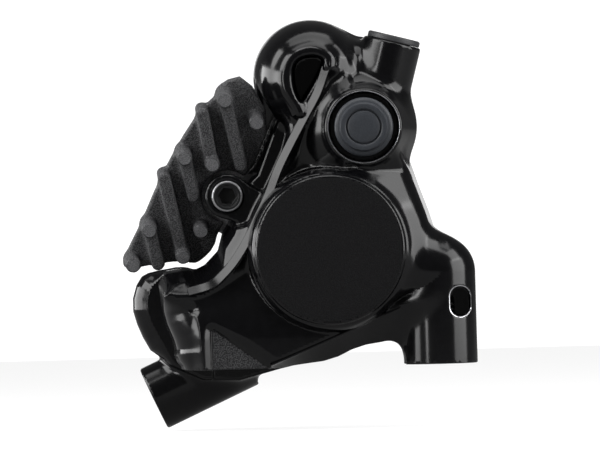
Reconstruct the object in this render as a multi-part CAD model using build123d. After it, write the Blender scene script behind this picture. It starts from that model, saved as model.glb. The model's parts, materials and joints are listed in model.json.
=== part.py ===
from build123d import *
import math
import os

# Rear flat-mount disc brake caliper with two pistons, in millimetres.
# The origin lies midway between the two frame bolts, on the plane of the two feet.
# +Z points away from the frame, +X to the rear, -Y outboard, to the side with the plain disc.
# A depth is a distance from the rotor plane, and a side is -1 (outboard) or +1 (inboard).
# In the side view, reach is measured from the piston centre away from the rotor's centre,
# and across is measured along the pad, up and to the rear.

# Frame mount and body castings
BOLT_SPACING = 34.0
BODY_HEIGHT = 58.0
MOUNT_HOLE_RADIUS = 2.1
MOUNT_HOLE_LENGTH = 11.0
BOSS_RADIUS = 6.15
BOSS_HEIGHT = 15.3
FOOT_DEPTH = 18.4
FOOT_TAPER = 2.0
OUTBOARD_THICKNESS = 21.0
INBOARD_THICKNESS = 19.0
DISC_STEP = 1.0
BASE_DEPTH = 6.4
OUTBOARD_WEB_DEPTH = 14.6
INBOARD_WEB_DEPTH = 13.6
DOME_RADIUS = 9.5
DOME_ROUNDING = 4.0
OUTBOARD_DOME_DEPTH = 15.8
INBOARD_DOME_DEPTH = 10.0
CREST_WIDTH = 1.6
CREST_DEPTH = 16.6
BOLT_BOSS_RADIUS = 6.2
BOLT_BOSS_DEPTH = 15.8

# Rotor that the caliper is made for
ROTOR_OFFSET = 12.5
ROTOR_RADIUS = 70.0
ROTOR_THICKNESS = 1.8
ROTOR_REACH = 58.0
ROTOR_ANGLE = 151.3
SLOT_CLEARANCE = 1.4

# Pads
PAD_GAP = 0.3
FRICTION_THICKNESS = 2.0
FRICTION_WIDTH = 27.0
FRICTION_HEIGHT = 18.5
BACKING_THICKNESS = 1.8
BACKING_WIDTH = 28.0
BACKING_RIM = 1.0
POCKET_CLEARANCE = 0.3
TAIL_WIDTH = 12.0
TAIL_LENGTH = 8.2

# Pad axle, its lugs and its snap ring
AXLE_REACH = 19.3
AXLE_RADIUS = 1.9
AXLE_CLEARANCE = 0.3
HEAD_RADIUS = 2.6
HEAD_THICKNESS = 2.4
HEAD_PROUD = 0.6
SOCKET_DEPTH = 1.6
SOCKET_RADIUS = 1.5
LUG_RADIUS = 3.7
LUG_DEPTH = 12.2
ARM_WIDTH = 6.6
SNAP_RING_THICKNESS = 0.6
SNAP_RING_WIDTH = 1.1
SNAP_RING_SEAT = 0.5
SNAP_RING_OVERHANG = 2.0

# Cooling fins
FIN_TILT = 17.0
FIN_LEAN = 14.0
FIN_PLATE = 1.5
FIN_PLATE_DEPTH = 7.5
BAR_WIDTH = 2.1
BAR_HEIGHT = 2.8
PEG_RADIUS = 1.25
PEG_HEIGHT = 3.6
FIN_ROOT_WIDTH = 9.0
FIN_ROOT_LENGTH = 4.2
FIN_TRAVEL = 1.1
FIN_CLEARANCE = 0.6
RIVET_RADIUS = 0.9
RIVET_HEAD_RADIUS = 1.5
RIVET_HEAD = 0.5
RIVET_LENGTH = 3.2

# Pistons, seals and fluid passages
PISTON_RADIUS = 11.0
PISTON_LENGTH = 10.5
PISTON_WALL = 2.6
PISTON_FLOOR = 3.2
BORE_CLEARANCE = 0.04
SEAL_WIDTH = 2.0
SEAL_SECTION = 1.6
SEAL_SETBACK = 4.6
CYLINDER_WALL = 1.4
CHAMBER_DEPTH = 1.5
DISC_MARGIN = 1.5
PASSAGE_RADIUS = 1.0
ORING_SECTION = 1.0
ORING_RADIUS = 2.0
TRANSFER_ANGLE = 127.3
TRANSFER_SETBACK = 1.5
TRANSFER_WALL = 0.5
FIT_CLEARANCE = 0.05

# Body bolts
BODY_BOLT_RADIUS = 2.5
BODY_BOLT_HEAD_RADIUS = 4.2
BODY_BOLT_HEAD = 4.6
BODY_BOLT_GRIP = 11.0
BODY_BOLT_THREAD = 8.0
BODY_BOLT_SOCKET_RADIUS = 2.3
BODY_BOLT_SOCKET_DEPTH = 2.6

# Bleed nipple with its rubber cap
BLEED_BOSS_RADIUS = 6.5
BLEED_BASE_RADIUS = 8.6
BLEED_FACE = 6.2
BLEED_BOSS_LENGTH = 8.4
BLEED_RECESS = 1.9
BLEED_CAP_RADIUS = 4.9
BLEED_CAP_LENGTH = 3.9
BLEED_CAP_WALL = 1.1
BLEED_CAP_RING = 0.9
NIPPLE_RADIUS = 2.2
NIPPLE_THREAD_RADIUS = 2.6
NIPPLE_BORE_RADIUS = 0.7
NIPPLE_LENGTH = 2.7
NIPPLE_SEAT = 4.2

# Valve tube with its screw and cap
VALVE_TUBE_RADIUS = 4.75
VALVE_TUBE_OFFSET = 2.0
VALVE_BORE_RADIUS = 2.9
VALVE_BORE_LENGTH = 10.6
VALVE_CAP_RADIUS = 4.4
VALVE_CAP_THICKNESS = 1.0
VALVE_CAP_PLUG = 1.6
VALVE_CAP_WALL = 0.8
VALVE_SCREW_LENGTH = 6.6
VALVE_SCREW_TIP = 1.4
VALVE_SOCKET_RADIUS = 1.5
VALVE_SOCKET_DEPTH = 2.4
VALVE_ORING_SECTION = 0.8

# Hose port
HOSE_PORT_RADIUS = 5.5
HOSE_PORT_LENGTH = 17.0
HOSE_PORT_ANGLE = 24.3
HOSE_PORT_OFFSET = 21.0
HOSE_THREAD_RADIUS = 3.6
HOSE_THREAD_LENGTH = 8.5
HOSE_CHAMFER = 0.5

# Pad spring
SPRING_THICKNESS = 0.4
SPRING_WIDTH = 7.0
SPRING_LENGTH = 9.6
SPRING_TOP_MARGIN = 1.2
SPRING_FINGER_WIDTH = 2.4
SPRING_FINGER_REACH = 7.0

# Overrun of cuts, so that each one passes clean through a face
CUT = 1.0

# Places in the side view, as shares of the bolt spacing and the body height
PISTON_SHARE = (-0.027, 0.337)
DOME_SHARE = (-0.103, 0.834)
UPPER_BOLT_SHARE = (-0.106, 0.853)
LOWER_BOLT_SHARE = (-0.737, 0.183)
BLEED_SHARE = (0.153, 0.686)
VALVE_TOP_SHARE = (0.309, 0.927)
VALVE_FOOT_SHARE = (0.199, 0.687)
HOSE_PORT_SHARE = (-0.931, -0.088)

# Outline of the outboard half where it joins the inboard one, from the left end round by the top
OUTBOARD_BASE_SHARES = [
    (-0.879, 0.283), (-0.735, 0.295), (-0.647, 0.317), (-0.582, 0.362), (-0.553, 0.422),
    (-0.488, 0.500), (-0.441, 0.569), (-0.391, 0.655), (-0.365, 0.724), (-0.353, 0.793),
    (-0.294, 0.862), (-0.103, 0.948), (0.118, 0.953), (0.265, 0.914), (0.341, 0.655),
    (0.388, 0.559), (0.485, 0.400), (0.544, 0.259), (0.353, 0.086), (0.244, 0.069),
    (0.100, 0.057), (-0.035, 0.019), (-0.188, 0.009), (-0.304, 0.000), (-0.765, 0.000),
    (-0.809, 0.036), (-0.806, 0.071), (-0.862, 0.153),
]

# The same corners on the outer face, along the two crests
OUTBOARD_FACE_SHARES = [
    (-0.853, 0.231), (-0.721, 0.228), (-0.606, 0.241), (-0.538, 0.266), (-0.465, 0.328),
    (-0.400, 0.414), (-0.338, 0.495), (-0.271, 0.578), (-0.218, 0.645), (-0.221, 0.724),
    (-0.253, 0.848), (-0.106, 0.934), (0.047, 0.907), (0.100, 0.810), (0.285, 0.634),
    (0.320, 0.538), (0.397, 0.376), (0.412, 0.241), (0.365, 0.188), (0.235, 0.150),
    (0.074, 0.109), (-0.118, 0.062), (-0.265, 0.028), (-0.353, 0.000), (-0.735, 0.000),
    (-0.776, 0.036), (-0.774, 0.071), (-0.835, 0.155),
]

# Crest of the long rib, up from the left end and round the teardrop recess
CREST_SHARES = [
    (-0.721, 0.222), (-0.606, 0.234), (-0.538, 0.262), (-0.471, 0.319), (-0.356, 0.469),
    (-0.209, 0.640), (-0.065, 0.838), (0.012, 0.866), (0.015, 0.893), (-0.047, 0.926),
    (-0.144, 0.931), (-0.224, 0.902), (-0.256, 0.848), (-0.241, 0.783), (-0.159, 0.717),
]

# Front foot where it leaves the web, from its left end round by the bottom, and its outer face
FOOT_BACK_SHARES = [
    (-0.835, 0.155), (-0.774, 0.071), (-0.776, 0.036), (-0.735, 0.000), (-0.353, 0.000),
    (-0.265, 0.028), (-0.118, 0.062), (-0.412, 0.181), (-0.606, 0.224), (-0.841, 0.221),
]
FOOT_FRONT_SHARES = [
    (-0.788, 0.148), (-0.735, 0.069), (-0.735, 0.036), (-0.700, 0.000), (-0.359, 0.000),
    (-0.276, 0.024), (-0.147, 0.052), (-0.421, 0.148), (-0.606, 0.183), (-0.788, 0.183),
]

# Outline of the inboard half where it joins the outboard one
INBOARD_BASE_SHARES = [
    (-0.976, 0.266), (-0.909, 0.286), (-0.735, 0.295), (-0.588, 0.298), (-0.435, 0.388),
    (-0.324, 0.517), (-0.235, 0.655), (-0.255, 0.741), (-0.294, 0.862), (-0.103, 0.948),
    (0.118, 0.953), (0.265, 0.914), (0.341, 0.655), (0.388, 0.559), (0.447, 0.414),
    (0.400, 0.190), (0.244, 0.069), (0.100, 0.057), (-0.035, 0.019), (-0.188, 0.009),
    (-0.588, -0.052), (-0.909, 0.038), (-0.979, 0.114), (-1.015, 0.190),
]

# The same corners on the inboard half's outer face
INBOARD_FACE_SHARES = [
    (-0.900, 0.240), (-0.853, 0.250), (-0.721, 0.250), (-0.571, 0.265), (-0.450, 0.370),
    (-0.350, 0.490), (-0.218, 0.628), (-0.230, 0.716), (-0.240, 0.840), (-0.103, 0.900),
    (0.060, 0.890), (0.190, 0.830), (0.290, 0.645), (0.340, 0.543), (0.390, 0.400),
    (0.350, 0.210), (0.215, 0.120), (0.080, 0.095), (-0.060, 0.065), (-0.200, 0.045),
    (-0.560, -0.010), (-0.850, 0.060), (-0.900, 0.125), (-0.915, 0.190),
]

# Teardrop recess beside the dome, and the three-cornered pocket in the left foot
WINDOW_SHARES = [
    (-0.194, 0.878), (-0.135, 0.900), (-0.062, 0.897), (-0.024, 0.872), (-0.150, 0.757),
    (-0.197, 0.803), (-0.206, 0.841),
]
WINDOW_DEPTH = 7.0
FOOT_POCKET_SHARES = [(-0.560, 0.115), (-0.350, 0.012), (-0.565, 0.012)]
FOOT_POCKET_DEPTH = 1.2
OVAL_SHARE = (0.601, 0.178)
OVAL_WIDTH = 3.3
OVAL_HEIGHT = 5.0
OVAL_DEPTH = 6.0

# Fin plate's outline, round from its top corner, and its bars and pegs from end to end
FIN_OUTLINE_SHARES = [
    (-0.535, 0.831), (-0.421, 0.847), (-0.297, 0.718), (-0.400, 0.579), (-0.480, 0.540),
    (-0.530, 0.440), (-0.580, 0.400), (-0.600, 0.355), (-0.662, 0.320), (-0.703, 0.310),
    (-0.765, 0.322), (-1.032, 0.300), (-1.053, 0.317), (-1.018, 0.360), (-0.953, 0.431),
    (-0.865, 0.545), (-0.762, 0.653), (-0.647, 0.752), (-0.562, 0.795),
]
BAR_SHARES = [
    ((-0.532, 0.800), (-0.462, 0.603)),
    ((-0.641, 0.753), (-0.603, 0.612)),
    ((-0.738, 0.638), (-0.697, 0.519)),
    ((-0.838, 0.570), (-0.759, 0.350)),
    ((-0.921, 0.433), (-0.882, 0.326)),
]
PEG_SHARES = [
    (-0.532, 0.795), (-0.379, 0.729), (-0.603, 0.612), (-0.738, 0.633), (-0.668, 0.422),
    (-0.759, 0.350), (-0.921, 0.428), (-1.006, 0.330),
]
RIVET_SHARES = (-0.25, 0.25)

# Ends of the passages as shares of the bore's radius, and corners as shares of a pad's width
HIGH_PASSAGE_SHARE = (0.25, 0.9)
LOW_PASSAGE_SHARE = (-0.8, -0.5)
PAD_CORNER_SHARE = 0.12

# Gap of the snap ring as a share of its seat, and the valve screw's groove as a share of its length
RING_GAP_SHARE = 0.8
SCREW_GROOVE_SHARE = 0.33

# Derived places
PISTON_X = PISTON_SHARE[0] * BOLT_SPACING
PISTON_Z = PISTON_SHARE[1] * BODY_HEIGHT
OUT_X = math.cos(math.radians(ROTOR_ANGLE))
OUT_Z = math.sin(math.radians(ROTOR_ANGLE))
FRICTION_DEPTH = ROTOR_THICKNESS / 2 + PAD_GAP
BACKING_DEPTH = FRICTION_DEPTH + FRICTION_THICKNESS
PISTON_DEPTH = BACKING_DEPTH + BACKING_THICKNESS
SLOT_DEPTH = ROTOR_THICKNESS / 2 + SLOT_CLEARANCE
SLOT_RADIUS = ROTOR_RADIUS + SLOT_CLEARANCE
POCKET_DEPTH = PISTON_DEPTH + POCKET_CLEARANCE / 2
BACKING_HEIGHT = FRICTION_HEIGHT + 2 * BACKING_RIM
BORE_RADIUS = PISTON_RADIUS + BORE_CLEARANCE
CHAMBER_END = PISTON_DEPTH + PISTON_LENGTH + CHAMBER_DEPTH
SEAL_DEPTH = PISTON_DEPTH + SEAL_SETBACK
CASTING_RADIUS = PISTON_RADIUS + SEAL_SECTION + CYLINDER_WALL
DISC_RADIUS = PISTON_RADIUS + DISC_MARGIN
TAIL_END = AXLE_REACH + TAIL_LENGTH
GROOVE_RADIUS = ORING_RADIUS + ORING_SECTION / 2 + FIT_CLEARANCE
TRANSFER_REACH = SLOT_RADIUS + TRANSFER_SETBACK + GROOVE_RADIUS


def place(share):
    """Point of the side view, from its shares of the bolt spacing and the body height."""
    return (share[0] * BOLT_SPACING, share[1] * BODY_HEIGHT)


def polar(reach, across):
    """Point of the side view, from its reach and its place across the pad."""
    return (PISTON_X + reach * OUT_X + across * OUT_Z, PISTON_Z + reach * OUT_Z - across * OUT_X)


def level(depth, side):
    """Height y of a depth on one side of the rotor plane."""
    return ROTOR_OFFSET + side * depth


def section(points, y):
    """Flat face in the plane at y, from its corners in the side view."""
    return Plane.XZ.offset(-y) * make_face(Polyline(*points, close=True))


def slab(points, y_from, y_to):
    """Plate between two heights y, from its corners in the side view."""
    return extrude(section(points, max(y_from, y_to)), abs(y_to - y_from))


def rod(centre, radius, y_from, y_to):
    """Round bar along y, centred on a point of the side view."""
    top = Plane.XZ.offset(-max(y_from, y_to))
    return extrude(top * Pos(centre[0], centre[1]) * Circle(radius), abs(y_to - y_from))


def hexagon(centre, radius, y_from, y_to):
    """Six-sided bar along y, with its corners at radius."""
    top = Plane.XZ.offset(-max(y_from, y_to))
    return extrude(top * Pos(centre[0], centre[1]) * RegularPolygon(radius, 6), abs(y_to - y_from))


def bar_between(start, end, radius):
    """Round bar from one point in space to another."""
    run = Vector(*end) - Vector(*start)
    return extrude(Plane(origin=start, z_dir=run) * Circle(radius), run.length)


def strip(reach_from, reach_to, half_width, depth_from, depth_to, side):
    """Straight-sided block laid out along the pad's own directions."""
    corners = [
        polar(reach_from, -half_width), polar(reach_from, half_width),
        polar(reach_to, half_width), polar(reach_to, -half_width),
    ]
    return slab(corners, level(depth_from, side), level(depth_to, side))


def in_space(point, y):
    """Point in space from a point of the side view and its height y."""
    return (point[0], y, point[1])


PISTON_CENTRE = (PISTON_X, PISTON_Z)
AXLE_CENTRE = polar(AXLE_REACH, 0)
ROTOR_CENTRE = polar(-ROTOR_REACH, 0)
DOME_CENTRE = place(DOME_SHARE)
UPPER_BOLT = place(UPPER_BOLT_SHARE)
LOWER_BOLT = place(LOWER_BOLT_SHARE)
TRANSFER = (
    ROTOR_CENTRE[0] + TRANSFER_REACH * math.cos(math.radians(TRANSFER_ANGLE)),
    ROTOR_CENTRE[1] + TRANSFER_REACH * math.sin(math.radians(TRANSFER_ANGLE)),
)
BLEED_CENTRE = place(BLEED_SHARE)
VALVE_TOP = Vector(*in_space(place(VALVE_TOP_SHARE), VALVE_TUBE_OFFSET))
VALVE_FOOT = Vector(*in_space(place(VALVE_FOOT_SHARE), VALVE_TUBE_OFFSET))
VALVE_AXIS = (VALVE_TOP - VALVE_FOOT).normalized()
HOSE_MOUTH = Vector(*in_space(place(HOSE_PORT_SHARE), HOSE_PORT_OFFSET))
HOSE_AXIS = Vector(
    math.cos(math.radians(HOSE_PORT_ANGLE)), 0, math.sin(math.radians(HOSE_PORT_ANGLE))
)


def along(start, axis, distance):
    """Point a distance along an axis."""
    return start + axis * distance


def casting(base_shares, face_shares, web_depth, dome_depth, side):
    """Body of one half: a plate at the parting plane and a web that narrows to its outer face."""
    base = [place(share) for share in base_shares]
    face = [place(share) for share in face_shares]
    plate = slab(base, level(0, side), level(BASE_DEPTH, side))
    sections = [section(base, level(BASE_DEPTH, side)), section(face, level(web_depth, side))]
    web = loft(sections, ruled=True)
    return plate + web + dome(dome_depth, side) + transfer_boss(side)


def dome(depth, side):
    """Round upper end of one half, with its outer edge rounded."""
    post = rod(DOME_CENTRE, DOME_RADIUS, level(0, side), level(depth, side))
    outer = 0 if side < 0 else -1
    rim = post.edges().filter_by(GeomType.CIRCLE).sort_by(Axis.Y)[outer]
    return fillet(rim, DOME_ROUNDING)


def crest():
    """Raised rib along the crest of the outboard half."""
    points = [place(share) for share in CREST_SHARES]
    half = CREST_WIDTH / 2
    band = Pos(*points[0]) * Circle(half)
    for start, end in zip(points, points[1:]):
        angle = math.degrees(math.atan2(end[1] - start[1], end[0] - start[0]))
        length = math.dist(start, end)
        middle = Pos((start[0] + end[0]) / 2, (start[1] + end[1]) / 2)
        band += middle * Rot(0, 0, angle) * SlotCenterToCenter(length, CREST_WIDTH)
    top = Plane.XZ.offset(-level(BASE_DEPTH, -1))
    return extrude(top * band, CREST_DEPTH - BASE_DEPTH)


def transfer_boss(side):
    """Metal round the transfer port, joined to the dome."""
    radius = GROOVE_RADIUS + TRANSFER_WALL
    run = Vector(*TRANSFER) - Vector(*DOME_CENTRE)
    sideways = run.normalized() * radius
    neck = [
        (DOME_CENTRE[0] - sideways.Y, DOME_CENTRE[1] + sideways.X),
        (TRANSFER[0] - sideways.Y, TRANSFER[1] + sideways.X),
        (TRANSFER[0] + sideways.Y, TRANSFER[1] - sideways.X),
        (DOME_CENTRE[0] + sideways.Y, DOME_CENTRE[1] - sideways.X),
    ]
    boss = rod(TRANSFER, radius, level(0, side), level(BASE_DEPTH, side))
    return boss + slab(neck, level(0, side), level(BASE_DEPTH, side))


def cylinder_housing(thickness, side):
    """Cylinder wall round one piston, closed by the plain disc at its outer end."""
    wall = rod(PISTON_CENTRE, CASTING_RADIUS, level(0, side), level(thickness - DISC_STEP, side))
    disc = rod(PISTON_CENTRE, DISC_RADIUS, level(0, side), level(thickness, side))
    return wall + disc


def axle_lug(side):
    """Lug that carries one end of the pad axle, on an arm from the cylinder wall."""
    lug = rod(AXLE_CENTRE, LUG_RADIUS, level(POCKET_DEPTH, side), level(LUG_DEPTH, side))
    arm = strip(0, AXLE_REACH, ARM_WIDTH / 2, POCKET_DEPTH, LUG_DEPTH, side)
    return lug + arm


def axle_end_room(side):
    """Room over one lug for the end of the pad axle."""
    return rod(AXLE_CENTRE, LUG_RADIUS, level(LUG_DEPTH, side), level(OUTBOARD_THICKNESS + CUT, side))


def pad_room(side):
    """Room for one pad and the rotor, cut into one half of the body."""
    slot = rod(ROTOR_CENTRE, SLOT_RADIUS, level(-CUT, side), level(SLOT_DEPTH, side))
    floor = -BACKING_HEIGHT / 2 - POCKET_CLEARANCE
    half_width = BACKING_WIDTH / 2 + POCKET_CLEARANCE
    pocket = strip(floor, AXLE_REACH * 2, half_width, -CUT, POCKET_DEPTH, side)
    return slot + pocket


def piston_bore(side):
    """Bore for one piston, with the groove of its seal."""
    bore = rod(PISTON_CENTRE, BORE_RADIUS, level(0, side), level(CHAMBER_END, side))
    groove_radius = BORE_RADIUS + SEAL_SECTION
    groove_end = SEAL_DEPTH + SEAL_WIDTH + 2 * FIT_CLEARANCE
    groove = rod(PISTON_CENTRE, groove_radius, level(SEAL_DEPTH, side), level(groove_end, side))
    return bore + groove


def mount_hole(side_of_origin):
    """Threaded hole for one frame bolt, up from a foot."""
    start = (side_of_origin * BOLT_SPACING / 2, 0, -CUT)
    end = (side_of_origin * BOLT_SPACING / 2, 0, MOUNT_HOLE_LENGTH)
    return bar_between(start, end, MOUNT_HOLE_RADIUS)


def rear_boss():
    """Round upright boss of the rear frame bolt, with a domed top."""
    foot = (BOLT_SPACING / 2, 0, 0)
    top = (BOLT_SPACING / 2, 0, BOSS_HEIGHT)
    post = bar_between(foot, top, BOSS_RADIUS)
    cap = Pos(*top) * Sphere(BOSS_RADIUS)
    bridge_to = place(OUTBOARD_FACE_SHARES[16])
    rib = slab(
        [
            (bridge_to[0] - BOSS_RADIUS, bridge_to[1]), bridge_to,
            (BOLT_SPACING / 2, BOSS_HEIGHT + BOSS_RADIUS / 2), (BOLT_SPACING / 2, BOSS_HEIGHT / 2),
            (bridge_to[0] - BOSS_RADIUS, BOSS_HEIGHT / 2),
        ],
        -BOSS_RADIUS / 4,
        level(BASE_DEPTH, -1),
    )
    return post + cap + rib


def front_foot():
    """Left foot: a flat-bottomed block that narrows to its outer face."""
    back = [place(share) for share in FOOT_BACK_SHARES]
    front = [place(share) for share in FOOT_FRONT_SHARES]
    shoulder = level(FOOT_DEPTH - FOOT_TAPER, -1)
    block = slab(back, level(BASE_DEPTH, -1), shoulder)
    return block + loft([section(back, shoulder), section(front, level(FOOT_DEPTH, -1))], ruled=True)


def valve_tube():
    """Tilted tube that holds the bleed valve screw."""
    start = along(VALVE_FOOT, VALVE_AXIS, -VALVE_TUBE_RADIUS / 2)
    return bar_between(start, VALVE_TOP, VALVE_TUBE_RADIUS)


def valve_bore():
    """Stepped bore of the valve tube."""
    wide_end = along(VALVE_TOP, VALVE_AXIS, -VALVE_BORE_LENGTH)
    wide = bar_between(along(VALVE_TOP, VALVE_AXIS, CUT), wide_end, VALVE_BORE_RADIUS)
    narrow = bar_between(wide_end, VALVE_FOOT, PASSAGE_RADIUS)
    return wide + narrow


def bleed_boss():
    """Round boss that faces outboard and carries the bleed nipple."""
    front = Plane.XZ.offset(BLEED_FACE) * Pos(*BLEED_CENTRE) * Circle(BLEED_BOSS_RADIUS)
    back = Plane.XZ.offset(BLEED_FACE - BLEED_BOSS_LENGTH) * Pos(*BLEED_CENTRE) * Circle(BLEED_BASE_RADIUS)
    return loft([back, front])


def bleed_bore():
    """Recess for the rubber cap, the nipple's seat and the drilling behind it."""
    recess_floor = BLEED_RECESS - BLEED_FACE
    recess = rod(BLEED_CENTRE, BLEED_CAP_RADIUS + BLEED_CAP_RING, -BLEED_FACE - CUT, recess_floor)
    seat = rod(
        BLEED_CENTRE, NIPPLE_THREAD_RADIUS + FIT_CLEARANCE, recess_floor, recess_floor + NIPPLE_SEAT
    )
    drilling = rod(BLEED_CENTRE, PASSAGE_RADIUS, recess_floor + NIPPLE_SEAT, VALVE_TUBE_OFFSET)
    return recess + seat + drilling


def oval_window():
    """Small rounded window in the rear boss, through to its bolt hole."""
    centre = place(OVAL_SHARE)
    top = Plane.XZ.offset(BOSS_RADIUS) * Pos(*centre)
    return extrude(top * SlotOverall(OVAL_HEIGHT, OVAL_WIDTH, rotation=90), -OVAL_DEPTH)


def on_bore(share):
    """Point of the side view near a piston bore's wall, from its shares of the bore's radius."""
    return (PISTON_X + share[0] * BORE_RADIUS, PISTON_Z + share[1] * BORE_RADIUS)


def outboard_passages():
    """Drillings that join the transfer port, the valve tube and the outboard cylinder."""
    chamber = level(CHAMBER_END - CHAMBER_DEPTH / 2, -1)
    port_end = level(BASE_DEPTH, -1)
    port = rod(TRANSFER, PASSAGE_RADIUS, level(-CUT, -1), port_end)
    wide_end = along(VALVE_TOP, VALVE_AXIS, -VALVE_BORE_LENGTH)
    across = bar_between(in_space(TRANSFER, port_end), wide_end, PASSAGE_RADIUS)
    down = bar_between(VALVE_FOOT, in_space(on_bore(HIGH_PASSAGE_SHARE), chamber), PASSAGE_RADIUS)
    return port + across + down


def oring_groove():
    """Face groove for the O-ring at the transfer port."""
    inner = ORING_RADIUS - ORING_SECTION / 2 - FIT_CLEARANCE
    depth = ORING_SECTION + 2 * FIT_CLEARANCE
    ring = rod(TRANSFER, GROOVE_RADIUS, level(-CUT, -1), level(depth, -1))
    return ring - rod(TRANSFER, inner, level(-2 * CUT, -1), level(depth + CUT, -1))


def outboard_body():
    """Outboard half, with the feet, the valve tube and the bleed boss."""
    side = -1
    body = casting(
        OUTBOARD_BASE_SHARES, OUTBOARD_FACE_SHARES, OUTBOARD_WEB_DEPTH, OUTBOARD_DOME_DEPTH, side
    )
    body += cylinder_housing(OUTBOARD_THICKNESS, side) + crest()
    body += rear_boss() + front_foot() + valve_tube() + bleed_boss()
    body -= fin_room(side)
    body += axle_lug(side)
    window_front = level(CREST_DEPTH + CUT, side)
    window_back = level(CREST_DEPTH - WINDOW_DEPTH, side)
    body -= slab([place(share) for share in WINDOW_SHARES], window_front, window_back)
    pocket_front = level(FOOT_DEPTH + CUT, side)
    pocket_back = level(FOOT_DEPTH - FOOT_POCKET_DEPTH, side)
    body -= slab([place(share) for share in FOOT_POCKET_SHARES], pocket_front, pocket_back)
    body -= pad_room(side) + piston_bore(side) + axle_end_room(side)
    body -= mount_hole(-1)
    body -= mount_hole(1)
    body -= oval_window()
    body -= valve_bore()
    body -= bleed_bore()
    body -= outboard_passages()
    body -= oring_groove()
    thread_end = level(BODY_BOLT_THREAD + FIT_CLEARANCE, side)
    for centre in (UPPER_BOLT, LOWER_BOLT):
        body -= rod(centre, BODY_BOLT_RADIUS + FIT_CLEARANCE, level(-CUT, side), thread_end)
    head_seat = level(LUG_DEPTH + HEAD_PROUD - HEAD_THICKNESS, side)
    lug_face = level(LUG_DEPTH + CUT, side)
    body -= rod(AXLE_CENTRE, HEAD_RADIUS + FIT_CLEARANCE, head_seat, lug_face)
    body -= rod(AXLE_CENTRE, AXLE_RADIUS + FIT_CLEARANCE, level(0, side), lug_face)
    return body


def bolt_boss(centre):
    """Round boss on the inboard half, over one body bolt."""
    return rod(centre, BOLT_BOSS_RADIUS, level(0, 1), level(BOLT_BOSS_DEPTH, 1))


def inboard_passages():
    """Drillings from the hose port to the inboard cylinder and on to the transfer port."""
    chamber = level(CHAMBER_END - CHAMBER_DEPTH / 2, 1)
    port_end = along(HOSE_MOUTH, HOSE_AXIS, HOSE_CHAMFER + HOSE_THREAD_LENGTH - CUT)
    low_edge = on_bore(LOW_PASSAGE_SHARE)
    feed = bar_between(port_end, in_space(low_edge, chamber), PASSAGE_RADIUS)
    high_edge = on_bore(HIGH_PASSAGE_SHARE)
    lift = bar_between(in_space(high_edge, chamber), in_space(TRANSFER, level(0, 1)), PASSAGE_RADIUS)
    return feed + lift


def hose_port():
    """Tube that takes the brake hose, with its far end inside the body."""
    return bar_between(
        HOSE_MOUTH, along(HOSE_MOUTH, HOSE_AXIS, HOSE_PORT_LENGTH), HOSE_PORT_RADIUS
    )


def hose_bore():
    """Threaded bore of the hose port, with a chamfered mouth."""
    thread_end = along(HOSE_MOUTH, HOSE_AXIS, HOSE_CHAMFER + HOSE_THREAD_LENGTH)
    thread = bar_between(along(HOSE_MOUTH, HOSE_AXIS, -CUT), thread_end, HOSE_THREAD_RADIUS)
    mouth = Plane(origin=HOSE_MOUTH, z_dir=HOSE_AXIS) * Circle(HOSE_THREAD_RADIUS + HOSE_CHAMFER)
    chamfer_end = along(HOSE_MOUTH, HOSE_AXIS, HOSE_CHAMFER)
    narrow = Plane(origin=chamfer_end, z_dir=HOSE_AXIS) * Circle(HOSE_THREAD_RADIUS)
    return thread + loft([mouth, narrow])


def inboard_body():
    """Inboard half, with the hose port and the seats of the body bolts."""
    side = 1
    body = casting(
        INBOARD_BASE_SHARES, INBOARD_FACE_SHARES, INBOARD_WEB_DEPTH, INBOARD_DOME_DEPTH, side
    )
    body += cylinder_housing(INBOARD_THICKNESS, side)
    body += bolt_boss(UPPER_BOLT) + bolt_boss(LOWER_BOLT) + hose_port()
    body -= fin_room(side)
    body += axle_lug(side)
    body -= pad_room(side) + piston_bore(side)
    body -= hose_bore() + inboard_passages() + axle_end_room(side)
    body -= rod(AXLE_CENTRE, AXLE_RADIUS + FIT_CLEARANCE, level(0, side), level(LUG_DEPTH + CUT, side))
    seat = level(BODY_BOLT_GRIP, side)
    for centre in (UPPER_BOLT, LOWER_BOLT):
        body -= rod(centre, BODY_BOLT_RADIUS + FIT_CLEARANCE, level(-CUT, side), seat)
        body -= rod(
            centre, BODY_BOLT_HEAD_RADIUS + FIT_CLEARANCE, seat, level(BOLT_BOSS_DEPTH + CUT, side)
        )
    return body


def body_bolt(centre):
    """Socket-head bolt that joins the two halves."""
    seat = level(BODY_BOLT_GRIP, 1)
    top = level(BODY_BOLT_GRIP + BODY_BOLT_HEAD, 1)
    shank = rod(centre, BODY_BOLT_RADIUS, level(BODY_BOLT_THREAD, -1), seat)
    head = rod(centre, BODY_BOLT_HEAD_RADIUS, seat, top)
    socket = hexagon(centre, BODY_BOLT_SOCKET_RADIUS, top - BODY_BOLT_SOCKET_DEPTH, top + CUT)
    return shank + head - socket


def body_bolts():
    """Both body bolts, as two separate solids."""
    return Compound([body_bolt(UPPER_BOLT), body_bolt(LOWER_BOLT)])


def transfer_oring():
    """O-ring round the transfer port, in its face groove."""
    y = level(ORING_SECTION / 2 + FIT_CLEARANCE, -1)
    plane = Plane(origin=in_space(TRANSFER, y), z_dir=(0, 1, 0))
    return plane * Torus(ORING_RADIUS, ORING_SECTION / 2)


def piston(side):
    """Cup-shaped piston, open towards its pad."""
    start = level(PISTON_DEPTH, side)
    cup = rod(PISTON_CENTRE, PISTON_RADIUS, start, level(PISTON_DEPTH + PISTON_LENGTH, side))
    hollow_end = level(PISTON_DEPTH + PISTON_LENGTH - PISTON_FLOOR, side)
    return cup - rod(PISTON_CENTRE, PISTON_RADIUS - PISTON_WALL, start - side * CUT, hollow_end)


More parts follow.
